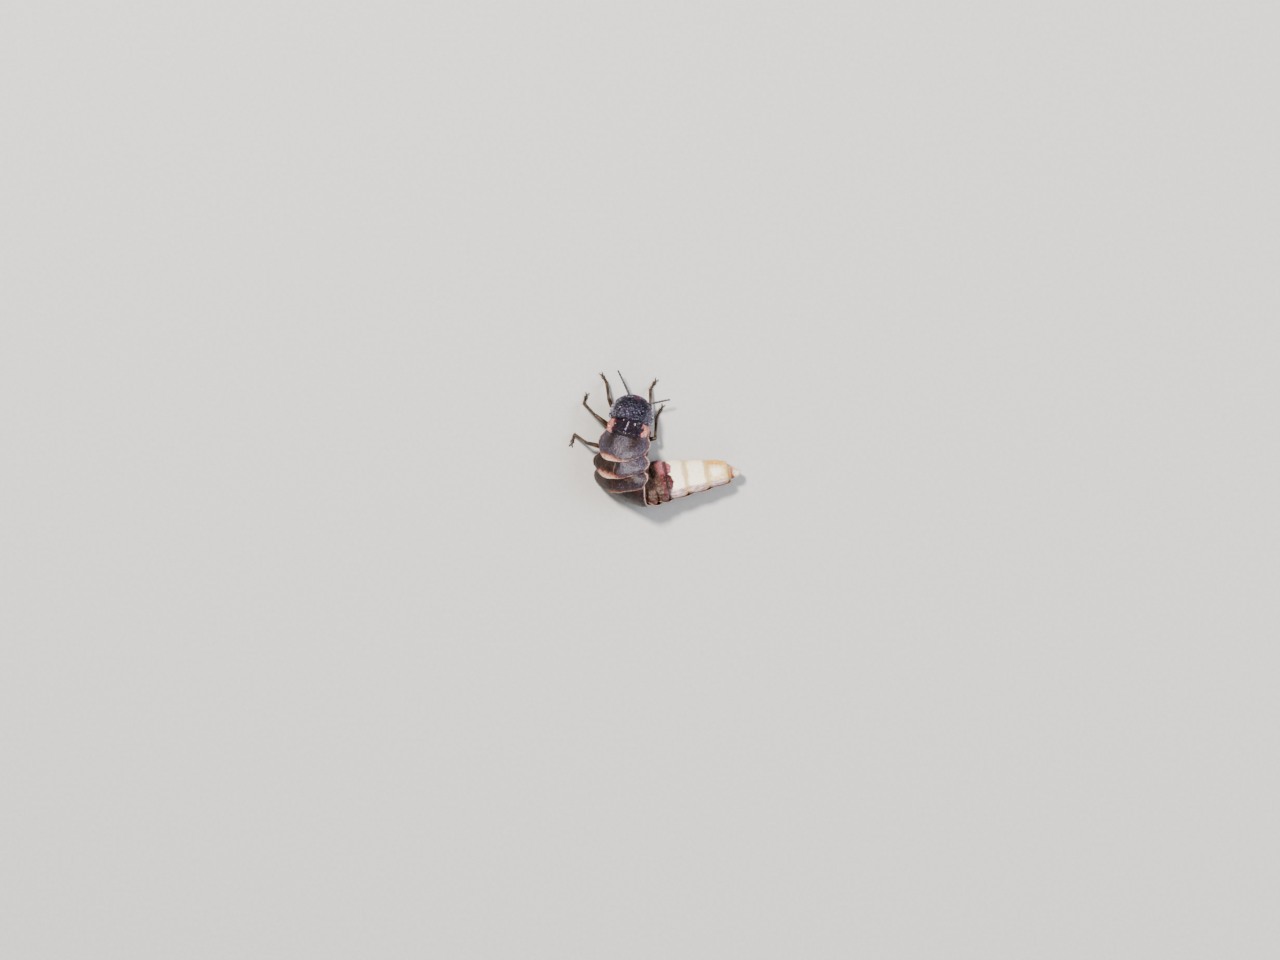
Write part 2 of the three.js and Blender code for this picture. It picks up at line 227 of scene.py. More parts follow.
def new_finish(name, *marks):
    # A material, its tree, places in millimetres, and the marks that it reads off the mesh.
    finish = bpy.data.materials.new(name)
    finish.use_nodes = True
    tree = finish.node_tree
    tree.nodes.clear()
    where = add_node(tree, "TexCoord", out="Object")
    in_mm = add_node(tree, "VectorMath", {0: where, "Scale": 1000.0}, operation="SCALE")
    read = [add_node(tree, "Attribute", out="Fac", attribute_name=mark) for mark in marks]
    return finish, tree, in_mm, *read


def painted(tree, base, *coats):
    # Coats of colour over a base. Each runs in as its mark goes from start to full, up to its most.
    for coat, mark, start, full, *most in coats:
        spread = {"Value": mark, "From Min": start, "From Max": full, "To Max": most[0] if most else 1.0}
        amount = add_node(tree, "MapRange", spread, interpolation_type="SMOOTHSTEP")
        under, over = [linear(colour) if isinstance(colour, int) else colour for colour in (base, coat)]
        base = add_node(tree, "Mix", {0: amount, 6: under, 7: over}, out=2, data_type="RGBA")
    return base


def add_surface(tree, colour, bumps, gloss, sockets):
    # The shader of a finish. Each bump is its heights, strength and depth in millimetres, over the one
    # before. Gloss is one roughness, or a mark, its two ends, and the roughness at each of them.
    relief = {}
    for heights, strength, depth, *sunk in bumps:
        feeds = {"Height": heights, "Strength": strength, "Distance": depth * MM, **relief}
        relief = {"Normal": add_node(tree, "Bump", feeds, invert=bool(sunk))}
    if isinstance(gloss, tuple):
        gloss = dict(zip(("Value", "From Min", "From Max", "To Min", "To Max"), gloss))
        gloss = add_node(tree, "MapRange", gloss)
    shader = {"Base Color": colour, "Roughness": gloss, **relief, **sockets}
    add_node(tree, "OutputMaterial", {"Surface": add_node(tree, "BsdfPrincipled", shader)})


# Lead and lap are how far a plate reaches past its segment, and corner how far back its hind
# corners do. Grey, cream, midline, swelling and edge_tone say how strong its colours are.
PLAIN_PLATE = {
    "tuck": 0.15, "lead": 0.15, "lap": 0.15, "width": 1.0, "bulge": 0.1, "corner": 0.25, "drawn_in": 0.0,
    "grey": 0.25, "grey_right": 0.5, "cream": 0.05, "midline": 0.3, "swelling": 0.0, "edge_tone": 1.0,
}
BACK_PLATES = {
    "mesonotum": {
        "segment": 1, "tuck": 0.13, "lap": 0.35, "width": 0.93, "bulge": 0.02, "corner": -0.5,
        "grey": 0.0, "grey_right": 0.0, "cream": -0.4, "midline": 0.0, "swelling": 1.0, "edge_tone": 0.0,
    },
    "metanotum": {
        "segment": 2, "tuck": 0.2, "lead": 0.65, "lap": 0.5, "bulge": 0.2, "corner": -1.0,
        "grey": 1.0, "grey_right": 1.05, "cream": 0.45, "midline": 0.5,
    },
    "tergite_1": {
        "segment": 3, "tuck": 0.24, "lead": 0.5, "lap": 0.2, "bulge": 0.22, "corner": -0.5,
        "grey": 0.0, "grey_right": 1.5, "cream": 0.45, "midline": 0.9,
    },
    "tergite_2": {
        "segment": 4, "tuck": 0.2, "lead": 0.45, "lap": -0.4, "width": 1.05, "bulge": 0.24, "corner": 0.5,
        "drawn_in": 0.055, "grey": 0.05, "grey_right": 0.8, "cream": 0.12, "midline": 0.6,
    },
    "tergite_3": {"segment": 5, "lead": 0.75, "width": 1.03, "bulge": 0.14, "grey": 0.35},
    "tergite_4": {"segment": 6},
    # On tergites 5 to 8 the pale margin is widened as painted light over the shaded gaps between the plates
    # and the skin.
    "tergite_5": {"segment": 7, "edge_tone": 1.9},
    "tergite_6": {"segment": 8, "edge_tone": 1.9, "corner": 0.35},
    "tergite_7": {"segment": 9, "edge_tone": 1.9, "corner": 0.35},
    "tergite_8": {"segment": 10, "edge_tone": 1.9, "bulge": 0.08},
}
# The arch and the margins of every plate, as parts of the body's half height and width.
PLATE = {"edge": 0.2, "flare": 0.03, "narrowing": 0.12, "arch": 2.4}
PLATE_THICKNESS = {"front": 0.08, "middle": 0.15, "rear": 0.09, "rim": 0.045}
PLATE_DROOP = 0.08
PLATE_RIPPLES = [(1.1, 5.1), (0.4, 17.9), (0.17, 29.3)]
# Rolled margins with a gutter inside, and a fine groove between welts down the middle. Each row
# is a height, the place of its crest and its half width.
HIND_ROLL = [(0.025, 0.05, 0.05), (-0.02, 0.2, 0.07)]
SIDE_ROLL = [(0.03, 0.05, 0.05), (-0.05, 0.28, 0.13)]
MIDDLE_GROOVE = [(-0.03, 0.0, 0.04), (0.015, 0.11, 0.05)]
plates = {name: {**PLAIN_PLATE, **sizes} for name, sizes in BACK_PLATES.items()}


def plate_span(plate):
    segment = plate["segment"]
    return stations[segment] - plate["lead"], stations[segment + 1] + plate["lap"]


def plate_width(plate, s, back):
    swell = 1 + plate["bulge"] * np.sin(math.pi * back) - PLATE["narrowing"] * (1 - back) ** 2
    return half_width(s) * plate["width"] * swell


def plate_height(plate, s, back, across):
    level = PLATE["edge"] + (1 - PLATE["edge"]) * (1 - np.abs(across) ** PLATE["arch"])
    level = level - plate["tuck"] + (plate["tuck"] + PLATE["flare"]) * smooth(0, 1, back)
    return half_height(s) * level


def plate_thickness(back):
    even = PLATE_THICKNESS["front"] + (PLATE_THICKNESS["rear"] - PLATE_THICKNESS["front"]) * back
    return even + 4 * back * (1 - back) * (PLATE_THICKNESS["middle"] - PLATE_THICKNESS["front"])


def back_plate(plate):
    front, rear = plate_span(plate)

    def shape(across, back):
        outward = np.abs(across)
        s = front + (rear - front) * back + plate["corner"] * outward ** 3 * back
        wide = plate_width(plate, s, back)
        high = plate_height(plate, s, back, across)
        u = wide * (across - plate["drawn_in"] * np.maximum(across, 0) ** 2)
        raw = body_point(s, u, high)
        rough, dents, grains = [ripple(raw, size, seed) for size, seed in PLATE_RIPPLES]
        to_side = (1 - outward) * wide
        to_rear = (1 - back) * (rear - front)
        to_front = back * (rear - front)

        # The hind hem shows through where it is swollen, most to the left of the midline.
        left_of_middle = smooth(-1.1, -0.5, across) * smooth(0.65, -0.4, across)
        hem = plate["cream"] * (left_of_middle if plate["cream"] > 0 else 1.0)
        swollen = plate["swelling"] * smooth(0.7, 0.92, outward + 0.14 * rough + 0.08 * dents)
        relief = (
            ridges(to_rear, HIND_ROLL) + ridges(to_side, SIDE_ROLL) + ridges(np.abs(u), MIDDLE_GROOVE)
            + 0.16 * np.maximum(hem, 0) * ridge(to_rear, 0.2, 0.2) * (1 + 1.2 * grains)
            - 0.06 * ridge(outward, 0.5, 0.17) * ridge(back, 0.5, 0.2)
            + 0.04 * rough + 0.03 * dents + 0.012 * grains
            - PLATE_DROOP * smooth(0.4, 0.0, to_rear)
            + (0.12 + 0.08 * dents) * swollen
            + 0.05 * plate["swelling"] * (1 - swollen) * (rough + dents)
        ) * smooth(0, 0.15, to_front)
        half_thick = plate_thickness(back) / 2
        full = rim_roundness(np.minimum(np.minimum(to_side, to_rear), to_front), PLATE_THICKNESS["rim"])
        middle = high + relief - half_thick
        to_right = smooth(0.02, 0.25, across + 0.12 * rough + 0.1 * dents)
        # Pale streaks down the mesonotum: partly pale membrane and partly painted highlight.
        pale_streaks_and_highlights = ridge(u + 0.05, 0, 0.1) + 0.8 * ridge(u, 0.6, 0.08) * ridge(back, 0.35, 0.2)
        pale_streaks_and_highlights = pale_streaks_and_highlights * smooth(0.1, 0.25, back) * smooth(0.9, 0.7, back)
        scars = ridge(outward, 0.45, 0.22) * ridge(back, 0.42, 0.25)
        marks = {
            "median": np.abs(u) + (1 - plate["midline"]) * 0.1,
            "to_side": np.minimum(to_side, to_rear + 0.04) + (1 - plate["edge_tone"]) * 0.4,
            "to_rear": to_rear,
            "hem": to_rear - hem + 0.05 * dents,
            "grey": plate["grey"] + (plate["grey_right"] - plate["grey"]) * to_right - 0.65 * scars,
            "streak": plate["swelling"] * pale_streaks_and_highlights,
            "swollen": swollen,
            "polish": np.full_like(s, plate["swelling"]),
        }
        return s + 0.05 * rough * back ** 4, u, middle + full * half_thick, middle - full * half_thick, marks

    return slab(rows=50, columns=124, shape=shape)


# Tanned insect cuticle with a dull gloss, dark brown under a bloom of violet-grey granules. The
# midline and the swollen hems are thin, and cream and orange tissue shows through them.
back_cuticle, tree, in_mm, median, to_side, hem, grey, swollen, streak, polish = new_finish(
    "tanned_back_cuticle", "median", "to_side", "hem", "grey", "swollen", "streak", "polish",
)
# Clouds of tanning are about 0.6 mm across; the granules, about 0.04 mm apart, are drawn at 0.1 mm.
clouds = add_node(tree, "TexNoise", {"Vector": in_mm, "Scale": 1.7, "Detail": 5.0})
speckle = add_node(tree, "TexNoise", {"Vector": in_mm, "Scale": 6.5, "Detail": 4.0})
granules = add_node(tree, "TexVoronoi", {"Vector": in_mm, "Scale": 10.0, "Randomness": 0.9})
pale_streak_and_highlight_cloud, grey_cloud, rim_cloud, hem_cloud = [
    add_node(tree, "Math", {0: speckle, 1: share, 2: mark}, operation="MULTIPLY_ADD")
    for share, mark in ((2.4, streak), (1.6, grey), (0.4, to_side), (0.55, hem))
]
brown = painted(
    tree, 0x140B09,
    (0x39211B, clouds, 0.36, 0.66),
    # Painted sheen: the polished middle of the mesonotum is tinted violet.
    (0x241B28, polish, 0.2, 0.9, 0.85),
    # The pale streaks: partly pale membrane, partly painted highlight.
    (0xA79AAC, pale_streak_and_highlight_cloud, 1.7, 2.3, 0.85),
)
# The violet-grey bloom is real; the paler tops of its granules are painted glints.
bloom_and_glints = painted(tree, 0x3B3441, (0x9C91A5, granules, 0.5, 0.04))
# Salmon swollen flesh, with paler speckles painted on as highlights.
swollen_flesh_and_highlights = painted(tree, 0x9C5F5A, (0xCB9E96, speckle, 0.34, 0.7))
colour = painted(
    tree, brown,
    (bloom_and_glints, grey_cloud, 1.1, 2.0, 0.85),
    (0x5E332E, rim_cloud, 0.52, 0.3, 0.6),
    (0x9E7468, median, 0.09, 0.015, 0.7),
    (0x5E1F22, swollen, 0.02, 0.3),
    (swollen_flesh_and_highlights, swollen, 0.3, 0.8),
    (0x5E3028, hem_cloud, 0.48, 0.3, 0.75),
    (0xA3705E, hem_cloud, 0.34, 0.16),
    (0xD2B8A3, hem_cloud, 0.22, -0.06),
    # The pale margin line; on the tail plates it is widened as painted light over the shaded gaps.
    (0xC3AAA0, rim_cloud, 0.34, 0.22, 0.75),
)
grained = add_node(tree, "MapRange", {"Value": polish, "To Min": 1.0, "To Max": 0.25})
dull = {"Value": speckle, "From Min": 0.2, "From Max": 0.8, "To Min": 0.3, "To Max": 0.52}
dull = add_node(tree, "MapRange", dull)
bumps = [(granules, grained, 0.02, "sunk"), (speckle, 0.6, 0.04)]
add_surface(tree, colour, bumps, (polish, 0.0, 1.0, dull, 0.2), {
    "IOR": 1.48,
    "Subsurface Weight": 0.1,
    "Subsurface Radius": (1.0, 0.4, 0.25),
    "Subsurface Scale": 0.15 * MM,
})
plate_shells = {}
for name, plate in plates.items():
    plate_shells[name] = back_plate(plate)
    plate_piece = build(f"{name}_plate", plate_shells[name], back_cuticle)
    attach(plate_piece, "root")
    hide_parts(name)

# Pronotum
# The shield over the head, round in front and square behind: one hard plate, domed and nearly black
# in the middle, and flat, thin and see-through grey along its margin, which is slightly turned up.
SHIELD = {
    "front": 0.12, "length": 2.98, "round": 2.2, "width": 2.13, "level": 0.54, "dome": 0.62, "notch": 0.15,
    "sag": 0.12, "corner": 0.3,
}
SHIELD_THICKNESS = {"margin": 0.09, "middle": 0.28, "rim": 0.045}
SHIELD_RIPPLES = [(0.8, 8.3), (0.3, 2.9), (0.16, 31.7)]
SHIELD_GUTTER = [(0.03, 0.04, 0.05), (-0.07, 0.35, 0.2)]
SHIELD_HIND_ROLL = [(0.02, 0.06, 0.05), (-0.03, 0.22, 0.1)]
SHIELD_KEEL = [(0.05, 0.0, 0.07), (-0.06, 0.42, 0.3)]


def shield_height(s, u):
    out = np.hypot(u / SHIELD["width"], np.maximum(0.0, (SHIELD["round"] - s) / SHIELD["round"]))
    dome = np.maximum(0.0, 1 - out ** 2.2)
    margin, middle = SHIELD_THICKNESS["margin"], SHIELD_THICKNESS["middle"]
    sag = SHIELD["sag"] * smooth(SHIELD["round"], SHIELD["length"], s)
    return out, SHIELD["level"] + SHIELD["dome"] * dome - sag, margin + (middle - margin) * dome


def pronotum_shape(across, back):
    outward = np.abs(across)
    front = SHIELD["front"] + SHIELD["round"] * (1 - np.sqrt(np.maximum(0.0, 1 - across ** 2)))
    rear = SHIELD["length"] - SHIELD["notch"] * (1 - across ** 2) - SHIELD["corner"] * outward ** 14
    s = front + (rear - front) * back
    u = SHIELD["width"] * across
    out, high, thick = shield_height(s, u)
    raw = body_point(s, u, high)
    rough, dents, grains = [ripple(raw, size, seed) for size, seed in SHIELD_RIPPLES]

    # A low keel runs down the disc between two shallow hollows; the margin is a turned-up gutter.
    to_edge = (1 - out) * SHIELD["width"]
    to_rear = (1 - back) * (rear - front)
    to_rim = np.minimum(np.minimum(to_edge, to_rear), (1 - outward) * SHIELD["width"])
    to_rim = np.maximum(np.minimum(to_rim, back * (rear - front)), 0.0)
    disc = smooth(0.25, 0.75, to_edge)
    relief = (
        ridges(to_edge, SHIELD_GUTTER) + ridges(np.abs(u), SHIELD_KEEL) * disc
        + ridges(to_rear, SHIELD_HIND_ROLL)
        + (0.05 * rough + 0.035 * dents + 0.016 * grains) * (0.3 + 0.7 * disc)
    )
    full = rim_roundness(to_rim, SHIELD_THICKNESS["rim"])
    middle = high + relief - thick / 2
    return s, u, middle + full * thick / 2, middle - full * thick / 2, {"to_edge": to_edge, "along": s}


# Black-brown cuticle packed with pits, with painted blue and violet glints, like pitted lacquer. At the
# margin the brown thins out, and the plate looks like smoked horn.
shield_cuticle, tree, in_mm, to_edge, along = new_finish("pitted_shield_cuticle", "to_edge", "along")
# Pits stand about 0.08 mm apart, drawn at 0.12 mm; the painted glints and pale glint flecks are about 0.2 mm
# apart.
clouds = add_node(tree, "TexNoise", {"Vector": in_mm, "Scale": 1.8, "Detail": 4.0})
glints = add_node(tree, "TexNoise", {"Vector": in_mm, "Scale": 6.0, "Detail": 4.0})
pits = add_node(tree, "TexVoronoi", {"Vector": in_mm, "Scale": 8.5, "Randomness": 0.85})
glint_cells = add_node(tree, "TexVoronoi", {"Vector": in_mm, "Scale": 5.2})
edge_cloud, front_cloud, rim_beads, painted_glint_spots = [
    add_node(tree, "Math", {0: pattern, 1: share, 2: mark}, operation="MULTIPLY_ADD")
    for pattern, share, mark in (
        (clouds, 0.5, to_edge), (clouds, -1.6, along), (glints, -0.6, to_edge), (glints, -0.9, glint_cells),
    )
]
on_side = add_node(tree, "MapRange", {"Value": along, "From Min": 0.7, "From Max": 2.2, "To Max": -0.38})
margin = add_node(tree, "Math", {0: edge_cloud, 1: on_side}, operation="ADD")
horn = painted(tree, 0x2E2A30, (0x787179, glints, 0.4, 0.66))
colour = painted(
    tree, 0x050406,
    # Painted glints: violet patches on the black disc.
    (0x1C1A2A, glints, 0.5, 0.74),
    (0x301B30, clouds, 0.52, 0.68, 0.7),
    (horn, margin, 0.85, 0.1),
    (0xC4BCC0, rim_beads, -0.22, -0.29),
    (0x62404A, front_cloud, -0.35, -0.7, 0.35),
    # Painted shade: the floors of the pits are darker.
    (0x0C090C, pits, 0.3, 0.08, 0.6),
    # Painted glints: pale blue flecks between the violet patches.
    (0x9B9FC6, painted_glint_spots, -0.25, -0.42, 0.85),
)
add_surface(tree, colour, [(pits, 1.0, 0.03), (glints, 0.8, 0.05)], (clouds, 0.35, 0.65, 0.16, 0.5), {
    "IOR": 1.46,
    "Specular Tint": linear(0xDAD6FF),
    "Coat Weight": 0.2,
    "Coat Roughness": 0.2,
    "Subsurface Weight": 0.08,
    "Subsurface Radius": (1.0, 0.5, 0.4),
    "Subsurface Scale": 0.12 * MM,
})
shield_shell = slab(rows=80, columns=150, shape=pronotum_shape)
shield_piece = build("pronotum_shield", shield_shell, shield_cuticle)
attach(shield_piece, "root")
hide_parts("pronotum")

# Skin
# The soft body wall under the plates: pink-brown folded membrane with firmer brown plates low on the
# sides and on the belly. Under the tail it is clear over the light organs. It is one unbroken skin.
SKIN = {
    "rings": 560, "sides": 176, "width": 0.92, "tail_width": 0.06, "side": -0.32, "top": 0.95,
    "plate_gap": 0.07, "clearance": 0.02,
}
LOBE = {"body": 0.08, "tail": 0.055}
NECK = {"front": 1.7, "rear": 2.75, "width": 0.62, "top": -0.2, "bottom": -1.0}
CREASE = {"depth": 0.13, "width": 0.13}
FOLD = {"length": 0.19, "height": 0.03}
BELLY_PLATE = {"edge": -0.55, "step": 0.06, "swell": 0.025}
SIDE_PLATE = {
    "part": 0.52, "height": -0.24, "half_part": 0.33, "half_height": 0.19, "last": 7, "rise": 0.05,
}
SPIRACLE = {"part": 0.3, "height": -0.02, "radius": 0.07}
TIP = {"start": 19.12, "end": 19.42, "width": 0.6, "height": 0.42, "round": 0.55}
CURL_START = stations[4] + 0.4
CURL_END = stations[8]
LAST_ORGAN = stations[10]
TIP_ROOT = stations[11]


def under_plates(s, u):
    # The lowest underside of the plates and the shield over a point of the skin.
    out, high, thick = shield_height(s, u)
    covered = (s < SHIELD["length"] - SHIELD["notch"]) & (out < 1)
    lowest = np.where(covered, high - thick, np.inf)
    for plate in plates.values():
        front, rear = plate_span(plate)
        back = (s - front) / (rear - front)
        inside = np.clip(back, 0, 1)
        across = u / plate_width(plate, s, inside)
        covered = (back >= 0) & (back <= 1) & (np.abs(across) < 1)
        under = plate_height(plate, s, inside, across) - plate_thickness(inside) - SKIN["plate_gap"]
        lowest = np.where(covered, np.minimum(lowest, under), lowest)
    return lowest


def ring_shell(points, lie, marks):
    # A closed form over rings of points, with a cap on each end.
    rows, sides = points.shape[:2]
    points = points.reshape(-1, 3)
    points[:, 2] = np.maximum(points[:, 2], FLOOR)
    return {
        "points": points,
        "quads": grid_quads(rows, sides, True),
        "caps": [tuple(range(sides))[::-1], tuple(range((rows - 1) * sides, rows * sides))],
        "outer": (rows - 1) * sides,
        "lie": lie.reshape(-1, 3),
        "marks": {mark: values.ravel() for mark, values in marks.items()},
    }


def skin():
    s, angle = np.meshgrid(
        np.linspace(NECK["front"], stations[-1] - 0.02, SKIN["rings"]),
        np.linspace(0, 2 * math.pi, SKIN["sides"], endpoint=False),
        indexing="ij",
    )
    index = np.clip(np.searchsorted(stations, s, side="right") - 1, 0, len(lengths) - 1)
    part = np.clip((s - stations[index]) / lengths[index], 0, 1)
    hump = np.sin(math.pi * part)
    wide = half_width(s)
    high = half_height(s)
    raw = body_point(s, wide * np.cos(angle), high * np.sin(angle))
    rough = ripple(raw, 0.9, 3.7)
    fine = ripple(raw, 0.3, 11.3)
    organ = smooth(CURL_END - 0.2, CURL_END + 0.3, s)

    # The outline of each ring: widest low on the side, full at the belly, flat under the plates.
    body = smooth(NECK["front"], NECK["rear"], s)
    lobe = LOBE["body"] + (LOBE["tail"] - LOBE["body"]) * organ
    fullness = SKIN["width"] + SKIN["tail_width"] * smooth(CURL_END - 1.5, CURL_END, s)
    width = NECK["width"] + (wide * (fullness + lobe * hump) - NECK["width"]) * body
    top = NECK["top"] + (high * SKIN["top"] - NECK["top"]) * body
    bottom = NECK["bottom"] + (-high - NECK["bottom"]) * body

    # The last small segment comes out of the eighth with a step, and its end is rounded.
    tip = smooth(TIP["start"], TIP["end"], s)
    taper = 1 - 0.25 * np.clip(s - TIP["end"], 0, None)
    closing = rim_roundness(stations[-1] - s, TIP["round"])
    width = width + (TIP["width"] * taper * closing - width) * tip + 0.02 * tip
    top = top + (TIP["height"] * taper * closing - top) * tip
    bottom = bottom + (-TIP["height"] * taper * closing - bottom) * tip
    side = np.clip(high * SKIN["side"] * (1 - tip), bottom + 0.01, top - 0.01)
    rise = np.where(np.sin(angle) > 0, top - side, side - bottom)
    square = 0.84 + 0.12 * organ
    u = width * np.sign(np.cos(angle)) * np.abs(np.cos(angle)) ** square
    v = side + rise * np.sign(np.sin(angle)) * np.abs(np.sin(angle)) ** square

    # Firm brown plates: one low on each side of a segment, with a breathing hole above its front.
    belly = smooth(BELLY_PLATE["edge"] + 0.16, BELLY_PLATE["edge"] - 0.16, v / high + 0.06 * rough)
    from_part = (part - SIDE_PLATE["part"]) / SIDE_PLATE["half_part"]
    from_height = (v / high - SIDE_PLATE["height"]) / SIDE_PLATE["half_height"]
    from_middle = np.hypot(from_part, from_height) + 0.12 * rough + 0.08 * fine
    on_flank = (index >= 1) * (index <= SIDE_PLATE["last"]) * (1 - tip)
    side_plate = on_flank * smooth(1.08, 0.92, from_middle)
    from_hole = np.hypot((part - SPIRACLE["part"]) * lengths[index], (v / high - SPIRACLE["height"]) * high)
    hole = (index >= 3) * (index <= 10) * ridge(from_hole, 0, SPIRACLE["radius"])

    # Creases between the segments, fine cross folds beside them, and the belly plates' hind steps.
    reach = np.abs(s + 0.07 * rough - stations[1:-1, None, None]).min(axis=0)
    curl = smooth(CURL_START, CURL_START + 0.8, s) * smooth(CURL_END + 0.1, CURL_END - 0.2, s)
    curl = curl * (v < 0.1 * high)
    crease = np.exp(-(reach / (CREASE["width"] + 0.16 * organ)) ** 1.5) * (1 - 0.3 * curl)
    beside = np.exp(-(reach / 0.3) ** 2)
    folds = np.sin(2 * math.pi * (s + 0.14 * fine + 0.3 * rough) / FOLD["length"])
    folds = folds * np.clip(0.12 + curl + beside * (1 - 0.5 * organ), 0.0, 1.1)
    folds = folds * np.clip(0.55 + 0.5 * rough + 0.9 * fine, 0, 1) * (1 - side_plate)
    out = (
        -CREASE["depth"] * crease * (1 - 0.35 * belly) * (1 - 0.78 * organ)
        + belly * BELLY_PLATE["step"] * (part ** 3 - 0.4) * (1 + 0.3 * organ)
        + BELLY_PLATE["swell"] * hump
        + FOLD["height"] * folds
        - 0.08 * ridge(v / high, -0.02, 0.08) * (1 - side_plate)
        - 0.06 * ridge(v / high, BELLY_PLATE["edge"], 0.07) * (1 - 0.6 * organ)
        - 0.03 * belly * ridge(np.abs(u) / wide, 0.42, 0.12) * hump * (1 - organ)
        + SIDE_PLATE["rise"] * side_plate - 0.03 * on_flank * ridge(from_middle, 1.12, 0.12)
        - 0.05 * hole + 0.02 * (index >= 3) * ridge(from_hole, 0.11, 0.04)
        + 0.03 * rough + 0.012 * fine
    )
    out = out * np.clip(high, 0.4, 1.2) * (1 - tip) + tip * closing * 0.09 * ripple(raw, 0.42, 6.6)
    slope = np.hypot(np.cos(angle) / np.maximum(width, 0.1), np.sin(angle) / high)
    u = u + out * np.cos(angle) / np.maximum(width, 0.1) / slope
    v = v + out * np.sin(angle) / high / slope
    v = np.minimum(v, under_plates(s, u) - SKIN["clearance"])

    # Colours change along the body: at the tail's root, in two lobes either side of the midline.
    aside = u / wide
    from_spot = np.hypot((s - LAST_ORGAN - 0.85) / 0.55, (aside - 0.1) / 0.5)
    lobes = 0.16 * ridge(np.abs(aside), 0.42, 0.28) - 0.2 * ridge(u, 0, 0.12)
    lobes = lobes - 0.3 * smooth(-0.55, -0.95, aside)
    # Painted shade: darker in the creases, the fold troughs and the breathing holes, and beside the creases
    # over the light organs.
    shaded = crease * (1 - 0.3 * organ) + 0.4 * beside * organ - 0.5 * folds.clip(-1, 0) + 1.3 * hole
    return ring_shell(body_point(s, u, v), body_frame(s)[3], {
        "along": s + 0.12 * rough - lobes * (s > CURL_END) * (s < CURL_END + 1.2),
        "firm": np.maximum(belly, side_plate),
        "fold": np.clip(shaded, 0, 1),
        "spot": smooth(1.2, 0.7, from_spot + 0.2 * fine),
        "crest": np.clip(folds, 0, 1) * curl,
        "height": v / high,
        "aside": aside,
        "wrap_across": (angle / (2 * math.pi) + 0.25) % 1.0,
        "wrap_along": s / stations[-1],
    })


# Thin living cuticle over soft tissue: waxy, a little translucent and pink-brown, with painted shade in its
# folds.
# At the light organs it is clear over a chalky cream layer; the last segments are honey coloured.
membrane, tree, in_mm, along, firm, fold, crest, spot, height, aside = new_finish(
    "body_membrane", "along", "firm", "fold", "crest", "spot", "height", "aside",
)
# Blotches are about 0.5 mm across, the chalk 0.2 mm and the grain 0.06 mm; wrinkles run lengthwise.
blotches, chalk, grain = [
    add_node(tree, "TexNoise", {"Vector": in_mm, "Scale": scale, "Detail": detail})
    for scale, detail in ((2.0, 4.0), (5.5, 5.0), (16.0, 3.0))
]
around = add_node(tree, "CombineXYZ", {"X": along, "Y": height, "Z": aside})
drawn_out = add_node(tree, "VectorMath", {0: around, 1: (1.6, 8.0, 8.0)}, operation="MULTIPLY")
wrinkles = add_node(tree, "TexNoise", {"Vector": drawn_out, "Scale": 1.0, "Detail": 4.0})
zone, toward_right, fold_shade_cloud = [
    add_node(tree, "Math", {0: pattern, 1: share, 2: mark}, operation="MULTIPLY_ADD")
    for pattern, share, mark in ((blotches, 0.5, along), (aside, 0.16, height), (chalk, -0.7, fold))
]
low_side, left_side, right_side, far_left, by_tail = [
    add_node(tree, "MapRange", {"Value": mark, "From Min": start, "From Max": full, "To Max": most})
    for mark, start, full, most in (
        (height, -0.02, -0.3, 1.0), (aside, 0.1, -0.5, 0.9), (aside, -0.5, 0.1, 0.9),
        (aside, -0.5, -0.9, 0.6), (zone, CURL_END - 0.1, CURL_END + 0.4, 1.0),
    )
]
brown = painted(tree, 0x33211C, (0x5E3F33, chalk, 0.38, 0.62))
# Painted highlight: the crests of the folds at the curl are paler.
striped = painted(tree, 0x35251F, (0x6E5246, chalk, 0.34, 0.66), (0x94765F, crest, 0.3, 1.0, 0.5))
flush = painted(tree, 0x54191E, (0xA0626A, aside, 0.15, -0.15), (0xC09A96, chalk, 0.52, 0.78, 0.5))
cream = painted(tree, 0xEFE2C2, (0xFBF4E0, chalk, 0.3, 0.55))
honey = painted(tree, 0xD8BA80, (0xECDDBB, chalk, 0.36, 0.62))
amber = painted(tree, 0xC98B28, (0xDFB868, chalk, 0.4, 0.66))
lilac = painted(tree, 0xA88486, (0xDCC6C0, wrinkles, 0.38, 0.6))
lumps = painted(tree, 0xB89C84, (0xDDCFC2, chalk, 0.42, 0.56))
# Painted shade in the creases and folds: dark brown, turning pale beige over the light organs.
shadow = painted(tree, 0x26150F, (0xC4A774, along, CURL_END + 0.4, CURL_END + 0.8))
colour = painted(
    tree, 0x8A5047,
    (0xBF8878, wrinkles, 0.34, 0.66),
    (brown, firm, 0.25, 0.75),
    (striped, zone, CURL_START + 0.3, CURL_START + 0.9, low_side),
    (flush, zone, CURL_END - 0.7, CURL_END + 0.05),
    (cream, zone, CURL_END + 0.6, CURL_END + 0.72),
    (honey, zone, CURL_END + 0.6, CURL_END + 0.9, far_left),
    (honey, zone, LAST_ORGAN - 0.1, LAST_ORGAN + 0.4),
    (cream, spot, 0.2, 0.8),
    (amber, zone, LAST_ORGAN - 0.1, LAST_ORGAN + 0.6, left_side),
    (lilac, toward_right, -0.66, -0.54, by_tail),
    (0xB08A68, zone, TIP_ROOT + 0.05, TIP_ROOT + 0.25),
    (0x833315, zone, TIP_ROOT + 0.1, TIP_ROOT + 0.3, right_side),
    (lumps, zone, TIP_ROOT + 0.6, TIP_ROOT + 0.9),
    (shadow, fold_shade_cloud, -0.2, 0.6, 0.8),
)
not_organ = add_node(tree, "MapRange", {
    "Value": along, "From Min": CURL_END, "From Max": CURL_END + 0.5, "To Min": 1.0, "To Max": 0.25,
})
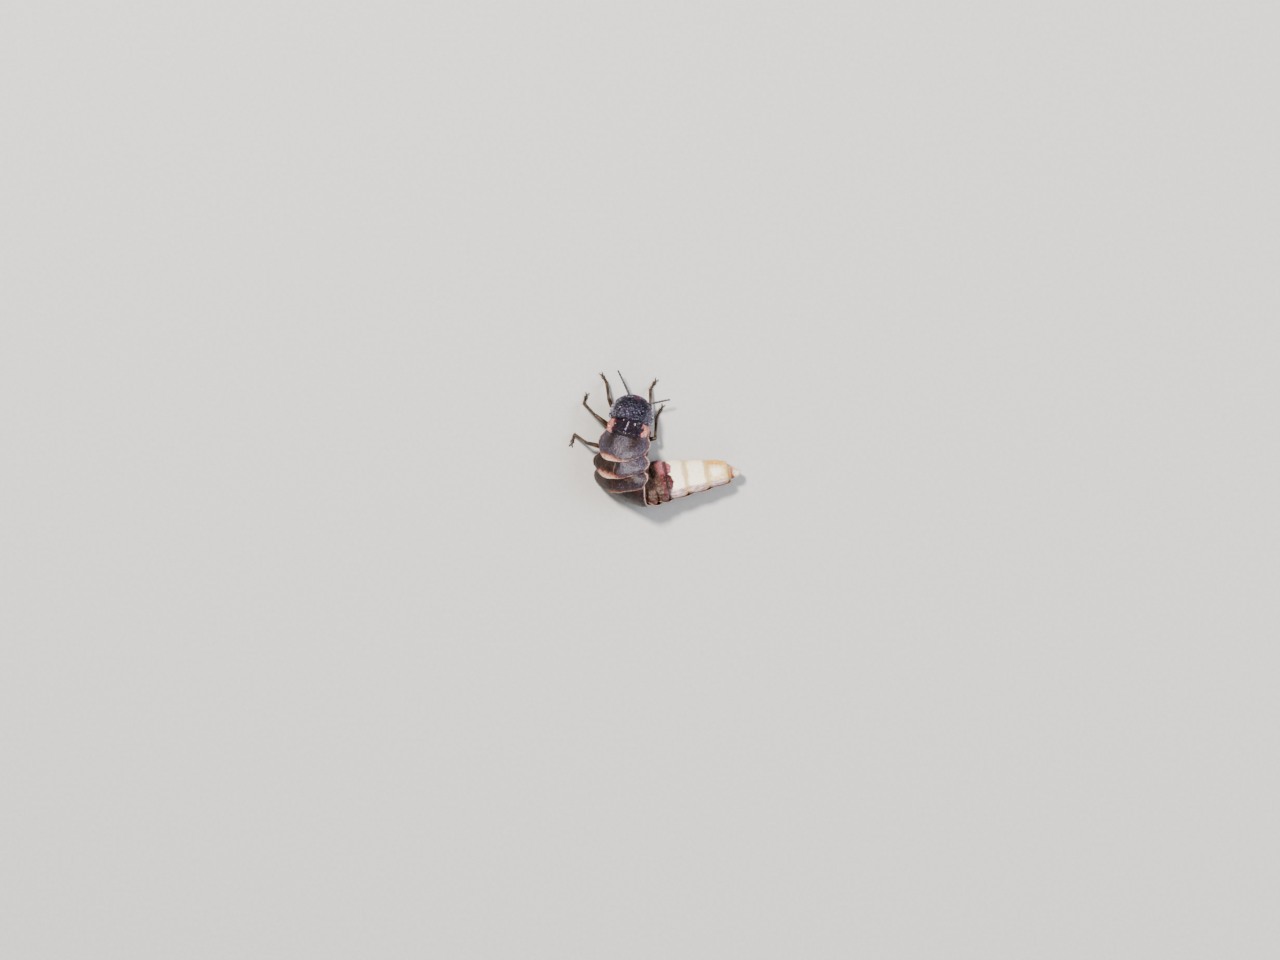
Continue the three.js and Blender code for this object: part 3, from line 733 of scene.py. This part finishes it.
creased = add_node(tree, "Math", {0: wrinkles, 1: not_organ}, operation="MULTIPLY")
add_surface(tree, colour, [(grain, 0.5, 0.012), (creased, 0.8, 0.08)], (grain, 0.2, 0.8, 0.28, 0.52), {
    "IOR": 1.48,
    "Subsurface Weight": 0.3,
    "Subsurface Radius": (1.0, 0.45, 0.3),
    "Subsurface Scale": 0.25 * MM,
})
skin_shell = skin()
skin_piece = build("body_skin", skin_shell, membrane)
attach(skin_piece, "root")
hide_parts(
    "prothorax", "mesothorax", "metathorax", "abdomen_base", "abdomen_bend",
    "sternite_5", "sternite_6", "sternite_7", "sternite_8", "tail_tip",
)

# Head
# A small flattened black capsule, drawn in under the shield: sickle jaws, jointed mouth feelers, and
# a raised cup round the root of each antenna. It is one hard shell, pinched in front of the eyes.
HEAD = {"s": 1.3, "v": -0.62, "length": 0.72, "width": 0.85, "height": 0.55}
SOCKET = {"out": 0.3, "up": 0.12, "radius": 0.17}
# Radii along a jaw and a feeler, and the places that they pass: forward, out from the middle, and up.
JAW_RADII = [0.17, 0.1, 0.02]
JAW = [[0.35, 0.4, -0.25], [0.62, 0.49, -0.3], [0.88, 0.42, -0.33], [1.0, 0.16, -0.35], [1.0, -0.03, -0.36]]
PALP_RADII = {"root": 0.09, "tip": 0.05}
PALP = [[0.4, 0.3, -0.42], [0.62, 0.34, -0.6], [0.8, 0.28, -0.68], [0.95, 0.2, -0.66], [1.05, 0.16, -0.6]]
LIP = [[0.5, 0, -0.2], [0.72, 0, -0.24], [0.84, 0, -0.32]]


def unit(vectors):
    return vectors / np.maximum(np.linalg.norm(vectors, axis=-1, keepdims=True), 1e-9)


def on_path(path, gone, wanted):
    return np.stack([np.interp(wanted, gone, path[:, i]) for i in range(3)], axis=1)


def smooth_path(turns, rows):
    # One smooth curve through a few points, evenly spaced along its length.
    turns = np.asarray(turns, dtype=float)
    chords = np.concatenate([[0.0], np.cumsum(np.linalg.norm(np.diff(turns, axis=0), axis=1) ** 0.5)])
    dense = np.linspace(0, chords[-1], 400)
    curves = [np.polyval(np.polyfit(chords, turns[:, i], len(turns) - 1), dense) for i in range(3)]
    path = np.stack(curves, axis=1)
    gone = np.concatenate([[0.0], np.cumsum(np.linalg.norm(np.diff(path, axis=0), axis=1))])
    return on_path(path, gone / gone[-1], np.linspace(0, 1, rows))


def limb(path, radii, flat=1.0, broad=(0, 0, 1), sides=20, tile=(0, 1)):
    # A closed tube along a path; flat squeezes it across the broad direction.
    along = unit(np.gradient(path, axis=0))
    side = np.asarray(broad, dtype=float) * np.ones_like(path)
    side = unit(side - along * (side * along).sum(axis=1, keepdims=True))
    other = np.cross(along, side)
    angle = np.linspace(0, 2 * math.pi, sides, endpoint=False)[None, :, None]
    ring = np.cos(angle) * side[:, None] + flat * np.sin(angle) * other[:, None]
    part, around = np.meshgrid(
        np.linspace(0, 1, len(path)), np.linspace(0, 1, sides, endpoint=False), indexing="ij",
    )
    marks = {"part": part, "wrap_across": around, "wrap_along": (tile[0] + part) / tile[1]}
    return ring_shell(path[:, None] + radii[:, None, None] * ring, np.repeat(along, sides, axis=0), marks)


def joint_profile(length, radii, ends, rows=22):
    # Places and radii along a joint of a limb, with its two ends rounded off.
    part = 0.5 - 0.5 * np.cos(np.linspace(0, math.pi, rows))
    size = np.interp(part, np.linspace(0, 1, len(radii)), radii)
    to_end = np.minimum(part, 1 - part) * length
    return part, size * np.maximum(rim_roundness(to_end, ends), 0.05)


def straight_joint(start, end, radii, ends=0.06, bow=0.0, **limb_sizes):
    # One joint of a limb, straight or bowed upwards.
    part, size = joint_profile(np.linalg.norm(end - start), radii, ends)
    path = start + (end - start) * part[:, None]
    path[:, 2] = path[:, 2] + bow * np.sin(math.pi * part)
    return limb(path, size, **limb_sizes)


def merged(shells):
    # Several shells as one, with their faces renumbered.
    starts = np.cumsum([0] + [len(shell["points"]) for shell in shells[:-1]])
    caps = []
    for shell, start in zip(shells, starts):
        caps += [tuple(i + int(start) for i in cap) for cap in shell["caps"]]
    quads = np.concatenate([shell["quads"] + start for shell, start in zip(shells, starts)])
    return {
        "points": np.concatenate([shell["points"] for shell in shells]),
        "quads": quads,
        "caps": caps,
        "outer": len(quads),
        "lie": np.concatenate([shell["lie"] for shell in shells]),
        "marks": {
            mark: np.concatenate([shell["marks"][mark] for shell in shells]) for mark in shells[0]["marks"]
        },
    }


def rounded_shell(rows, columns, place):
    # A closed rounded form; place turns unit directions into points.
    polar, angle = np.meshgrid(
        np.linspace(0.03, math.pi - 0.03, rows),
        np.linspace(0, 2 * math.pi, columns, endpoint=False),
        indexing="ij",
    )
    points = place(np.sin(polar) * np.cos(angle), np.sin(polar) * np.sin(angle), np.cos(polar))
    shell = ring_shell(points, np.zeros_like(points), {})
    return {**shell, "quads": shell["quads"][:, ::-1], "caps": [cap[::-1] for cap in shell["caps"]]}


def head_point(forward, aside, up):
    return body_point(HEAD["s"] - forward, aside, HEAD["v"] + up)


def skull(x, y, z):
    pinch = 1 - 0.26 * smooth(0.15, 0.95, z) - 0.12 * smooth(-0.4, -1.0, z)
    u = HEAD["width"] * np.sign(x) * np.abs(x) ** 0.86 * pinch
    v = HEAD["height"] * np.sign(y) * np.abs(y) ** 0.9 * (1 - 0.15 * smooth(0.3, 1, z))
    cup = np.hypot(np.abs(u) - SOCKET["out"], v - SOCKET["up"])
    front = smooth(0.2, 0.6, z)
    forward = HEAD["length"] * z
    forward = forward + front * (0.07 * ridge(cup, SOCKET["radius"], 0.05) - 0.08 * ridge(cup, 0, 0.1))
    forward = forward - 0.05 * front * ridge(u, 0, 0.08) * smooth(-0.1, 0.2, v)
    eye_rim = ridge(np.hypot(np.abs(u) - 0.62, v - 0.02), 0.3, 0.05)
    return head_point(forward, u, v + 0.03 * eye_rim * np.sign(v))


head_shells = [rounded_shell(rows=72, columns=108, place=skull)]
for side in (-1, 1):
    jaw, palp = [[head_point(x, side * y, z) for x, y, z in turns] for turns in (JAW, PALP)]
    jaw_radii = np.interp(np.linspace(0, 1, 30), [0, 0.5, 1], JAW_RADII)
    head_shells.append(limb(smooth_path(jaw, 30), jaw_radii, flat=0.7, sides=18))
    for i in range(len(palp) - 1):
        size = PALP_RADII["root"] + (PALP_RADII["tip"] - PALP_RADII["root"]) * i / (len(palp) - 2)
        radii = [0.75 * size, size, 1.05 * size, 0.8 * size]
        head_shells.append(straight_joint(palp[i], palp[i + 1], radii, sides=16))
lip = smooth_path([head_point(*turn) for turn in LIP], 18)
lip_radii = 0.3 * np.sqrt(1 - 0.97 * np.linspace(0, 1, 18) ** 4)
head_shells.append(limb(lip, lip_radii, flat=0.35, broad=(1, 0.25, 0), sides=24))

# Jet-black cuticle, polished like lacquer, with fine scattered pits and a brown cast on the jaws.
head_cuticle, tree, in_mm = new_finish("polished_head_cuticle")
# Pits stand about 0.08 mm apart.
pits = add_node(tree, "TexVoronoi", {"Vector": in_mm, "Scale": 12.0})
clouds = add_node(tree, "TexNoise", {"Vector": in_mm, "Scale": 3.0, "Detail": 3.0})
pit_floor = add_node(tree, "MapRange", {"Value": pits, "From Min": 0.05, "From Max": 0.3})
colour = painted(tree, 0x120D0E, (0x3A2722, clouds, 0.35, 0.75))
add_surface(tree, colour, [(pit_floor, 0.5, 0.01)], (clouds, 0.2, 0.8, 0.18, 0.36), {"IOR": 1.56})
head_piece = build("head_capsule", merged(head_shells), head_cuticle)
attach(head_piece, "root")
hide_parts("head")

# Eyes
# Small round black compound eyes on the sides of the head, each of many six-sided lenses set in a
# low rim. The female's are much smaller than the male's.
EYE = {"radius": 0.28, "ahead": 0.3, "out": 0.68, "up": 0.02}

# Clear hard lenses over black pigment, like wet beads. They are about 0.02 mm wide, drawn at 0.035 mm.
lens, tree, in_mm = new_finish("faceted_eye_lens")
facets = add_node(tree, "TexVoronoi", {"Vector": in_mm, "Scale": 28.0, "Randomness": 0.25})
colour = painted(tree, 0x1A1518, (0x060506, facets, 0.25, 0.6))
add_surface(tree, colour, [(facets, 0.7, 0.008, "sunk")], (facets, 0.0, 1.0, 0.12, 0.3), {
    "IOR": 1.5, "Coat Weight": 0.5, "Coat Roughness": 0.06,
})
for side, sign in (("left", -1), ("right", 1)):
    def eye(x, y, z):
        out = sign * EYE["out"] + EYE["radius"] * x * (1 + 0.08 * sign * x)
        return head_point(EYE["ahead"] + 0.98 * EYE["radius"] * z, out, EYE["up"] + 0.94 * EYE["radius"] * y)

    eye_piece = build(f"compound_eye_{side}", rounded_shell(rows=36, columns=52, place=eye), lens)
    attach(eye_piece, "root")
    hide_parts(f"eye_{side}")

# Antennae
# Two short threads of eleven joints, each joint a little narrower at its root, dark grey under a bloom
# of short pale hairs. The second joint is the shortest.
ANTENNA = {"root": 0.14, "tip": 0.09, "joint": 0.5, "ends": 0.07, "overlap": 1.05}
ANTENNA_RADII = [0.62, 0.85, 0.97, 1.0, 0.86]
ANTENNA_JOINTS = [1.35, 0.7, 0.95, 1.0, 1.0, 1.0, 1.0, 0.98, 0.95, 0.92, 1.15]
ANTENNAE = {
    "left": (-1, [[0.35, 5.4, 1.4], [-0.38, 7.0, 1.6], [-0.68, 7.6, 1.65]]),
    "right": (1, [[2.3, 4.42, 1.72], [3.3, 4.6, 1.8], [4.28, 4.8, 1.75]]),
}


def joint_ends(joints):
    # Where each joint of a thread ends, as parts of the whole.
    return np.concatenate([[0.0], np.cumsum(joints)]) / sum(joints)


def antenna(sign, turns):
    face = HEAD["length"] * math.sqrt(1 - (SOCKET["out"] / HEAD["width"]) ** 2)
    root = head_point(face - 0.04, sign * SOCKET["out"], SOCKET["up"])
    path = smooth_path([root] + [np.array(turn) - FOOTPRINT_MIDDLE for turn in turns], 600)
    ends = joint_ends(ANTENNA_JOINTS)
    amount = len(ANTENNA_JOINTS)
    joints = []
    for i in range(amount):
        size = ANTENNA["root"] + (ANTENNA["tip"] - ANTENNA["root"]) * i / (amount - 1)
        part, radii = joint_profile(ANTENNA["joint"], [size * r for r in ANTENNA_RADII], ANTENNA["ends"])
        reach = ends[i] + (ends[i + 1] - ends[i]) * part * ANTENNA["overlap"]
        joints.append(limb(on_path(path, np.linspace(0, 1, 600), reach), radii, tile=(i, amount)))
    return merged(joints)


# Matt dark grey cuticle under down, like fine suede, and browner at the narrow root of each joint.
antenna_cuticle, tree, in_mm, part = new_finish("downy_antenna_cuticle", "part")
# Down stands about 0.03 mm apart, drawn at 0.05 mm.
down = add_node(tree, "TexNoise", {"Vector": in_mm, "Scale": 20.0, "Detail": 2.0})
colour = painted(tree, 0x28242A, (0x6D6873, down, 0.4, 0.68), (0x7A5E4C, part, 0.18, 0.04))
add_surface(tree, colour, [(down, 0.8, 0.01)], (down, 0.2, 0.8, 0.4, 0.7), {
    "IOR": 1.55, "Sheen Weight": 0.3, "Sheen Roughness": 0.4,
})
antenna_shells = {}
for side, (sign, turns) in ANTENNAE.items():
    antenna_shells[side] = antenna(sign, turns)
    antenna_piece = build(f"antenna_joints_{side}", antenna_shells[side], antenna_cuticle)
    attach(antenna_piece, "root")
    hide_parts(f"antenna_{side}")

# Legs
# Six brown legs of hard tubes with soft joints between them: hip cone, ring, swollen thigh, slim shin
# with two spurs, and a foot of five joints whose fourth is a split pad, with two hooked claws.
COXA_RADII = [0.2635, 0.31, 0.2945, 0.22]
RING_RADII = [0.198, 0.22, 0.209]
FEMUR = 0.3
FEMUR_RADII = [0.62, 0.88, 1.0, 0.96, 0.82, 0.66]
TIBIA = 0.2
TIBIA_RADII = [0.9, 0.78, 0.82, 0.9, 1.0]
SPUR = {"length": 0.24, "radius": 0.035, "tip": 0.006}
FOOT = 0.15
FOOT_JOINTS = [1.35, 0.95, 0.8, 0.8, 1.3]
FOOT_RADII = [0.55, 0.8, 1.0, 1.05, 0.9]
CLAW_JOINT_RADII = [0.45, 0.55, 0.62, 0.7, 0.62]
PAD_RADII = [0.09, 0.12, 0.12, 0.08]
CLAW = 0.34
CLAW_RADII = [0.055, 0.04, 0.008]
LEG_TILES = 15
# Hip, along the body and to its side; then knee, ankle and toe, as places over the floor.
LEGS = {
    "front_left": [(2.35, -0.9), (-1.57, 4.95, 1.35), (-1.76, 6.48, 0.5), (-2.2, 7.2, FOOT)],
    "front_right": [(2.35, 0.9), (2.42, 4.2, 1.2), (2.42, 5.85, 0.45), (2.9, 6.6, FOOT)],
    "middle_left": [(3.45, -0.8), (-2.86, 3.33, 2.0), (-3.95, 4.48, 0.5), (-3.7, 5.25, FOOT)],
    "middle_right": [(3.75, 0.8), (2.9, 1.1, 1.9), (3.0, 3.05, 0.5), (3.55, 4.15, FOOT)],
    "hind_left": [(5.3, -0.85), (-3.62, 0.67, 2.0), (-4.86, 1.52, 0.5), (-5.15, 0.62, FOOT)],
    "hind_right": [(4.9, 0.5), (1.65, -0.75, 1.7), (0.4, -1.35, 0.45), (-0.55, -1.75, FOOT)],
}


def foot(ankle, toe):
    heel = ankle + 0.3 * (toe - ankle)
    heel[2] = toe[2]
    path = smooth_path([ankle, heel, toe], 300)
    path[:, 2] = np.maximum(path[:, 2], 0.85 * FOOT)
    ends = joint_ends(FOOT_JOINTS)
    pieces = []
    for i in range(len(FOOT_JOINTS)):
        last = i == len(FOOT_JOINTS) - 1
        size = FOOT * (1.08 - 0.05 * i)
        shape = CLAW_JOINT_RADII if last else FOOT_RADII
        part, radii = joint_profile(0.3, [size * r for r in shape], 0.05)
        reach = ends[i] + (ends[i + 1] - ends[i]) * (part * 1.08 - 0.04)
        joint_path = on_path(path, np.linspace(0, 1, 300), reach)
        pieces.append(limb(joint_path, radii, flat=1 if last else 0.82, sides=18, tile=(6 + i, LEG_TILES)))
    forward = unit((toe - heel) * [1, 1, 0])
    aside = np.array([-forward[1], forward[0], 0])
    pad = path[int(300 * ends[3])]
    for number, side in ((11, -1), (12, 1)):
        pad_root = pad + side * 0.03 * aside
        pad_end = pad + 0.34 * forward + side * 0.13 * aside
        pad_end[2] = 0.07
        pad_sizes = {"flat": 0.7, "sides": 14, "tile": (number, LEG_TILES)}
        pieces.append(straight_joint(pad_root, pad_end, PAD_RADII, **pad_sizes))
        hook = np.linspace(0, 1, 16)
        sideways = 0.16 * np.sin(1.7 * hook[:, None])
        claw_path = toe + forward * CLAW * hook[:, None] + side * aside * sideways
        claw_path[:, 2] = claw_path[:, 2] + 0.06 * np.sin(math.pi * hook) - (toe[2] - 0.03) * hook ** 2
        claw_radii = np.interp(hook, [0, 0.6, 1], CLAW_RADII)
        pieces.append(limb(claw_path, claw_radii, sides=10, tile=(number + 2, LEG_TILES)))
    return pieces


def leg(hip, *over_floor):
    s, u = hip
    belly = -half_height(s)
    root = body_point(s, u, belly + 0.12)
    ring = body_point(s, 1.2 * u, belly - 0.42)
    joint = body_point(s, 1.35 * u, belly - 0.6)
    knee, ankle, toe = [np.array(place) - FOOTPRINT_MIDDLE for place in over_floor]
    thigh = unit(knee - joint)
    shin = unit(ankle - knee)
    femur_radii = [FEMUR * r for r in FEMUR_RADII]
    tibia_radii = [TIBIA * r for r in TIBIA_RADII]
    thigh_sizes = {"ends": 0.12, "bow": 0.05, "flat": 0.8, "tile": (2, LEG_TILES)}
    shin_sizes = {"ends": 0.14, "bow": 0.05, "flat": 0.82, "tile": (3, LEG_TILES)}
    pieces = [
        straight_joint(root, ring, COXA_RADII, tile=(0, LEG_TILES)),
        straight_joint(ring, joint, RING_RADII, tile=(1, LEG_TILES)),
        straight_joint(joint, knee + 0.08 * thigh, femur_radii, **thigh_sizes),
        straight_joint(knee - 0.12 * shin, ankle, tibia_radii, **shin_sizes),
    ]
    aside = unit(np.cross(shin, [0, 0, 1]))
    for number, side in ((4, -1), (5, 1)):
        spur_root = ankle - 0.08 * shin + side * 0.12 * aside
        spur_tip = spur_root + SPUR["length"] * shin + side * 0.09 * aside
        spur = np.linspace(spur_root, spur_tip, 8)
        spur_radii = np.linspace(SPUR["radius"], SPUR["tip"], 8)
        pieces.append(limb(spur, spur_radii, sides=8, tile=(number, LEG_TILES)))
    return merged(pieces + foot(ankle, toe))


# Brown horn-like cuticle, smooth and glossy over a faint grain, darker at the joints, amber where thin.
leg_cuticle, tree, in_mm, part = new_finish("glossy_leg_cuticle", "part")
# Clouds are about 0.4 mm across, and the grain is 0.05 mm.
clouds = add_node(tree, "TexNoise", {"Vector": in_mm, "Scale": 2.6, "Detail": 4.0})
grain = add_node(tree, "TexNoise", {"Vector": in_mm, "Scale": 22.0, "Detail": 2.0})
colour = painted(
    tree, 0x261B13,
    (0x584431, clouds, 0.35, 0.66),
    (0x20140E, part, 0.9, 1.0),
    (0x8C7048, part, 0.1, 0.0),
)
add_surface(tree, colour, [(grain, 0.6, 0.008)], (grain, 0.2, 0.8, 0.26, 0.46), {
    "IOR": 1.56,
    "Subsurface Weight": 0.1,
    "Subsurface Radius": (1.0, 0.5, 0.2),
    "Subsurface Scale": 0.12 * MM,
})
leg_shells = {}
for name, joints in LEGS.items():
    leg_shells[name] = leg(*joints)
    leg_piece = build(f"{name}_leg_joints", leg_shells[name], leg_cuticle)
    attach(leg_piece, "root")
    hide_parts(f"leg_{name}")

# Hairs
# Fine short hairs grow from the cuticle and lean back along the body: pale on the plates and the
# belly, closer along the margins, and brown on the legs. Each is a thin tapered bristle.
PATCH = 0.003
COATS = {
    "plate_hairs": {"count": 9000, "length": 0.1, "thick": 0.007, "lean": 0.3, "seed": 11},
    "shield_hairs": {"count": 3000, "length": 0.08, "thick": 0.006, "lean": 0.35, "seed": 12},
    "belly_hairs": {"count": 4000, "length": 0.08, "thick": 0.006, "lean": 0.4, "seed": 13},
    "leg_hairs": {"count": 7000, "length": 0.1, "thick": 0.008, "lean": 0.5, "seed": 14},
    "antenna_hairs": {"count": 3000, "length": 0.06, "thick": 0.006, "lean": 0.5, "seed": 15},
}


def hair_roots(draw, shell, count, density):
    # Random places on a shell's outer faces: the point, its normal, the lie of the coat and the wrap.
    quads = shell["quads"][:shell["outer"]]
    marks = shell["marks"]
    corners = shell["points"][quads]
    normal = np.cross(corners[:, 2] - corners[:, 0], corners[:, 3] - corners[:, 1])
    weight = np.linalg.norm(normal, axis=1) * density(marks, quads[:, 0])
    chosen = draw.choice(len(quads), size=count, p=weight / weight.sum())
    a, b = draw.random((2, count, 1))
    picked = corners[chosen]
    near = picked[:, 0] * (1 - a) + picked[:, 1] * a
    far = picked[:, 3] * (1 - a) + picked[:, 2] * a
    wrap = np.stack([marks["wrap_across"], marks["wrap_along"]], axis=1)[quads[chosen, 0]]
    return near * (1 - b) + far * b, unit(normal[chosen]), shell["lie"][quads[chosen, 0]], wrap


def coat(name, shells, density, finish, count, length, thick, lean, seed):
    # Bristles as one mesh. Each is three-sided, bends once, and has its own patch of the wrap.
    draw = np.random.default_rng(seed)
    each = [hair_roots(draw, shell, count // len(shells), density) for shell in shells]
    root, normal, lie, wrap = [np.concatenate(values) for values in zip(*each)]
    amount = len(root)
    flat = unit(lie - normal * (lie * normal).sum(axis=1, keepdims=True))
    tilt = lean + draw.normal(0, 0.12, (amount, 1))
    swerve = np.cross(normal, flat) * draw.normal(0, 0.22, (amount, 1))
    size = length * (0.7 + 0.6 * draw.random((amount, 1)))
    rise = unit(flat * np.cos(tilt) + normal * np.sin(tilt) + swerve)
    middle = root + rise * size * 0.5
    tip = middle + unit(rise + 0.45 * flat - 0.15 * normal) * size * 0.5
    level = unit(np.cross(rise, normal + 0.01))
    spokes = [level * math.cos(turn) + normal * math.sin(turn) for turn in (0.5, 2.6, 4.7)]
    corners = [root - 0.01 * normal + spoke * thick / 2 for spoke in spokes]
    corners = corners + [middle + spoke * thick / 3 for spoke in spokes] + [tip]
    points = np.stack(corners, axis=1).reshape(-1, 3)
    points[:, 2] = np.maximum(points[:, 2], FLOOR / 2)
    start = np.arange(amount)[:, None] * len(corners)
    faces = []
    for i, after in ((0, 1), (1, 2), (2, 0)):
        faces += (start + [[i, after, after + 3, i + 3]]).tolist()
        faces += (start + [[i + 3, after + 3, 6]]).tolist()
    piece = smooth_mesh(name, points, faces, finish)
    corner_of = np.empty(len(piece.data.loops), dtype=np.int32)
    piece.data.loops.foreach_get("vertex_index", corner_of)
    spots = np.array([[0, 0], [1, 0], [0.5, 0], [0, 0.5], [1, 0.5], [0.5, 0.5], [0.5, 1]]) * PATCH
    laid = (wrap[:, None] * (1 - PATCH) + spots[None]).reshape(-1, 2)
    bake = piece.data.uv_layers.new(name="OFBake")
    bake.data.foreach_set("uv", laid[corner_of].astype(np.float32).ravel())
    return piece


def bristle_finish(name, dark, light):
    # Clear chitin, a little different hair by hair, that shines like combed bristle.
    finish, tree, in_mm = new_finish(name)
    hair_by_hair = add_node(tree, "TexNoise", {"Vector": in_mm, "Scale": 6.0})
    colour = painted(tree, dark, (light, hair_by_hair, 0.35, 0.65))
    add_surface(tree, colour, [], 0.35, {"IOR": 1.55})
    return finish


def all_over(marks, corners):
    return 1.0


def closer_at_margins(marks, corners):
    return 0.3 + 2.5 * (marks["to_side"][corners] < 0.25) + (marks["to_rear"][corners] < 0.2)


def belly_only(marks, corners):
    return (marks["height"][corners] < -0.3).astype(float)


pale_bristle = bristle_finish("pale_chitin_bristle", 0x5A4E48, 0x97897C)
brown_bristle = bristle_finish("brown_chitin_bristle", 0x4E3520, 0x9C7C52)
for name, shells, density, finish, slot in (
    ("plate_hairs", plate_shells.values(), closer_at_margins, pale_bristle, "back_cuticle"),
    ("shield_hairs", [shield_shell], all_over, pale_bristle, "shield_cuticle"),
    ("belly_hairs", [skin_shell], belly_only, pale_bristle, "flank_skin"),
    ("leg_hairs", leg_shells.values(), all_over, brown_bristle, "leg_cuticle"),
    ("antenna_hairs", antenna_shells.values(), all_over, pale_bristle, "antenna_cuticle"),
):
    coat_piece = coat(name, shells, density, finish, **COATS[name])
    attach(coat_piece, "root")

# Stage
# A plain pale floor with soft studio light from three sides, and a camera that looks straight down
# at the back of the thorax, as the photograph does, with the animal small in its frame. In metres.
STAGE = {"floor": 0.9, "cells": 24, "camera": (-0.00135, -0.00401, 0.3022), "focal": 88.6, "sky": 0.32}
LIGHTS = {
    "key": {"place": (-0.1, 0.13, 0.28), "size": 0.06, "power": 1.6, "colour": 0xFFF8F0},
    "fill": {"place": (0.24, 0.02, 0.2), "size": 0.2, "power": 0.8, "colour": 0xEEF3FF},
    "back": {"place": (0.02, -0.26, 0.16), "size": 0.16, "power": 0.22, "colour": 0xFFFFFF},
}
steps = np.linspace(-0.5, 0.5, STAGE["cells"]) * STAGE["floor"]
floor_x, floor_y = np.meshgrid(steps, steps)
floor_points = np.stack([floor_x, floor_y, 0 * floor_x], axis=-1).reshape(-1, 3)
floor_quads = grid_quads(STAGE["cells"], STAGE["cells"], False)
floor_mesh = bpy.data.meshes.new("floor")
floor_mesh.from_pydata(floor_points.tolist(), [], floor_quads.tolist())
floor = placed("floor", floor_mesh)

# Matt, off-white card with a faint tooth of about 0.4 mm.
card, tree, in_mm = new_finish("matt_white_card")
tooth = add_node(tree, "TexNoise", {"Vector": in_mm, "Scale": 2.5, "Detail": 3.0})
colour = painted(tree, 0xBFBDB9, (0xC6C4C0, tooth, 0.2, 0.8))
add_surface(tree, colour, [(tooth, 0.25, 0.03)], 0.85, {})
floor_mesh.materials.append(card)

world = bpy.data.worlds.new("studio")
world.use_nodes = True
world.node_tree.nodes["Background"].inputs["Color"].default_value = linear(0xE4E8EE)
world.node_tree.nodes["Background"].inputs["Strength"].default_value = STAGE["sky"]
bpy.context.scene.world = world
bpy.context.scene.view_settings.look = "AgX - Medium High Contrast"
for name, light in LIGHTS.items():
    lamp = bpy.data.lights.new(f"{name}_softbox", "AREA")
    lamp.shape = "DISK"
    lamp.size = light["size"]
    lamp.energy = light["power"]
    lamp.color = linear(light["colour"])[:3]
    softbox = placed(f"{name}_softbox", lamp)
    softbox.location = light["place"]
    softbox.rotation_euler = (-Vector(light["place"])).to_track_quat("-Z", "Y").to_euler()

camera_data = bpy.data.cameras.new("camera")
camera_data.lens = STAGE["focal"]
camera_data.sensor_width = 36
camera_data.clip_start = 0.01
camera_data.dof.use_dof = False
camera = placed("camera", camera_data)
camera.location = STAGE["camera"]
bpy.context.scene.camera = camera
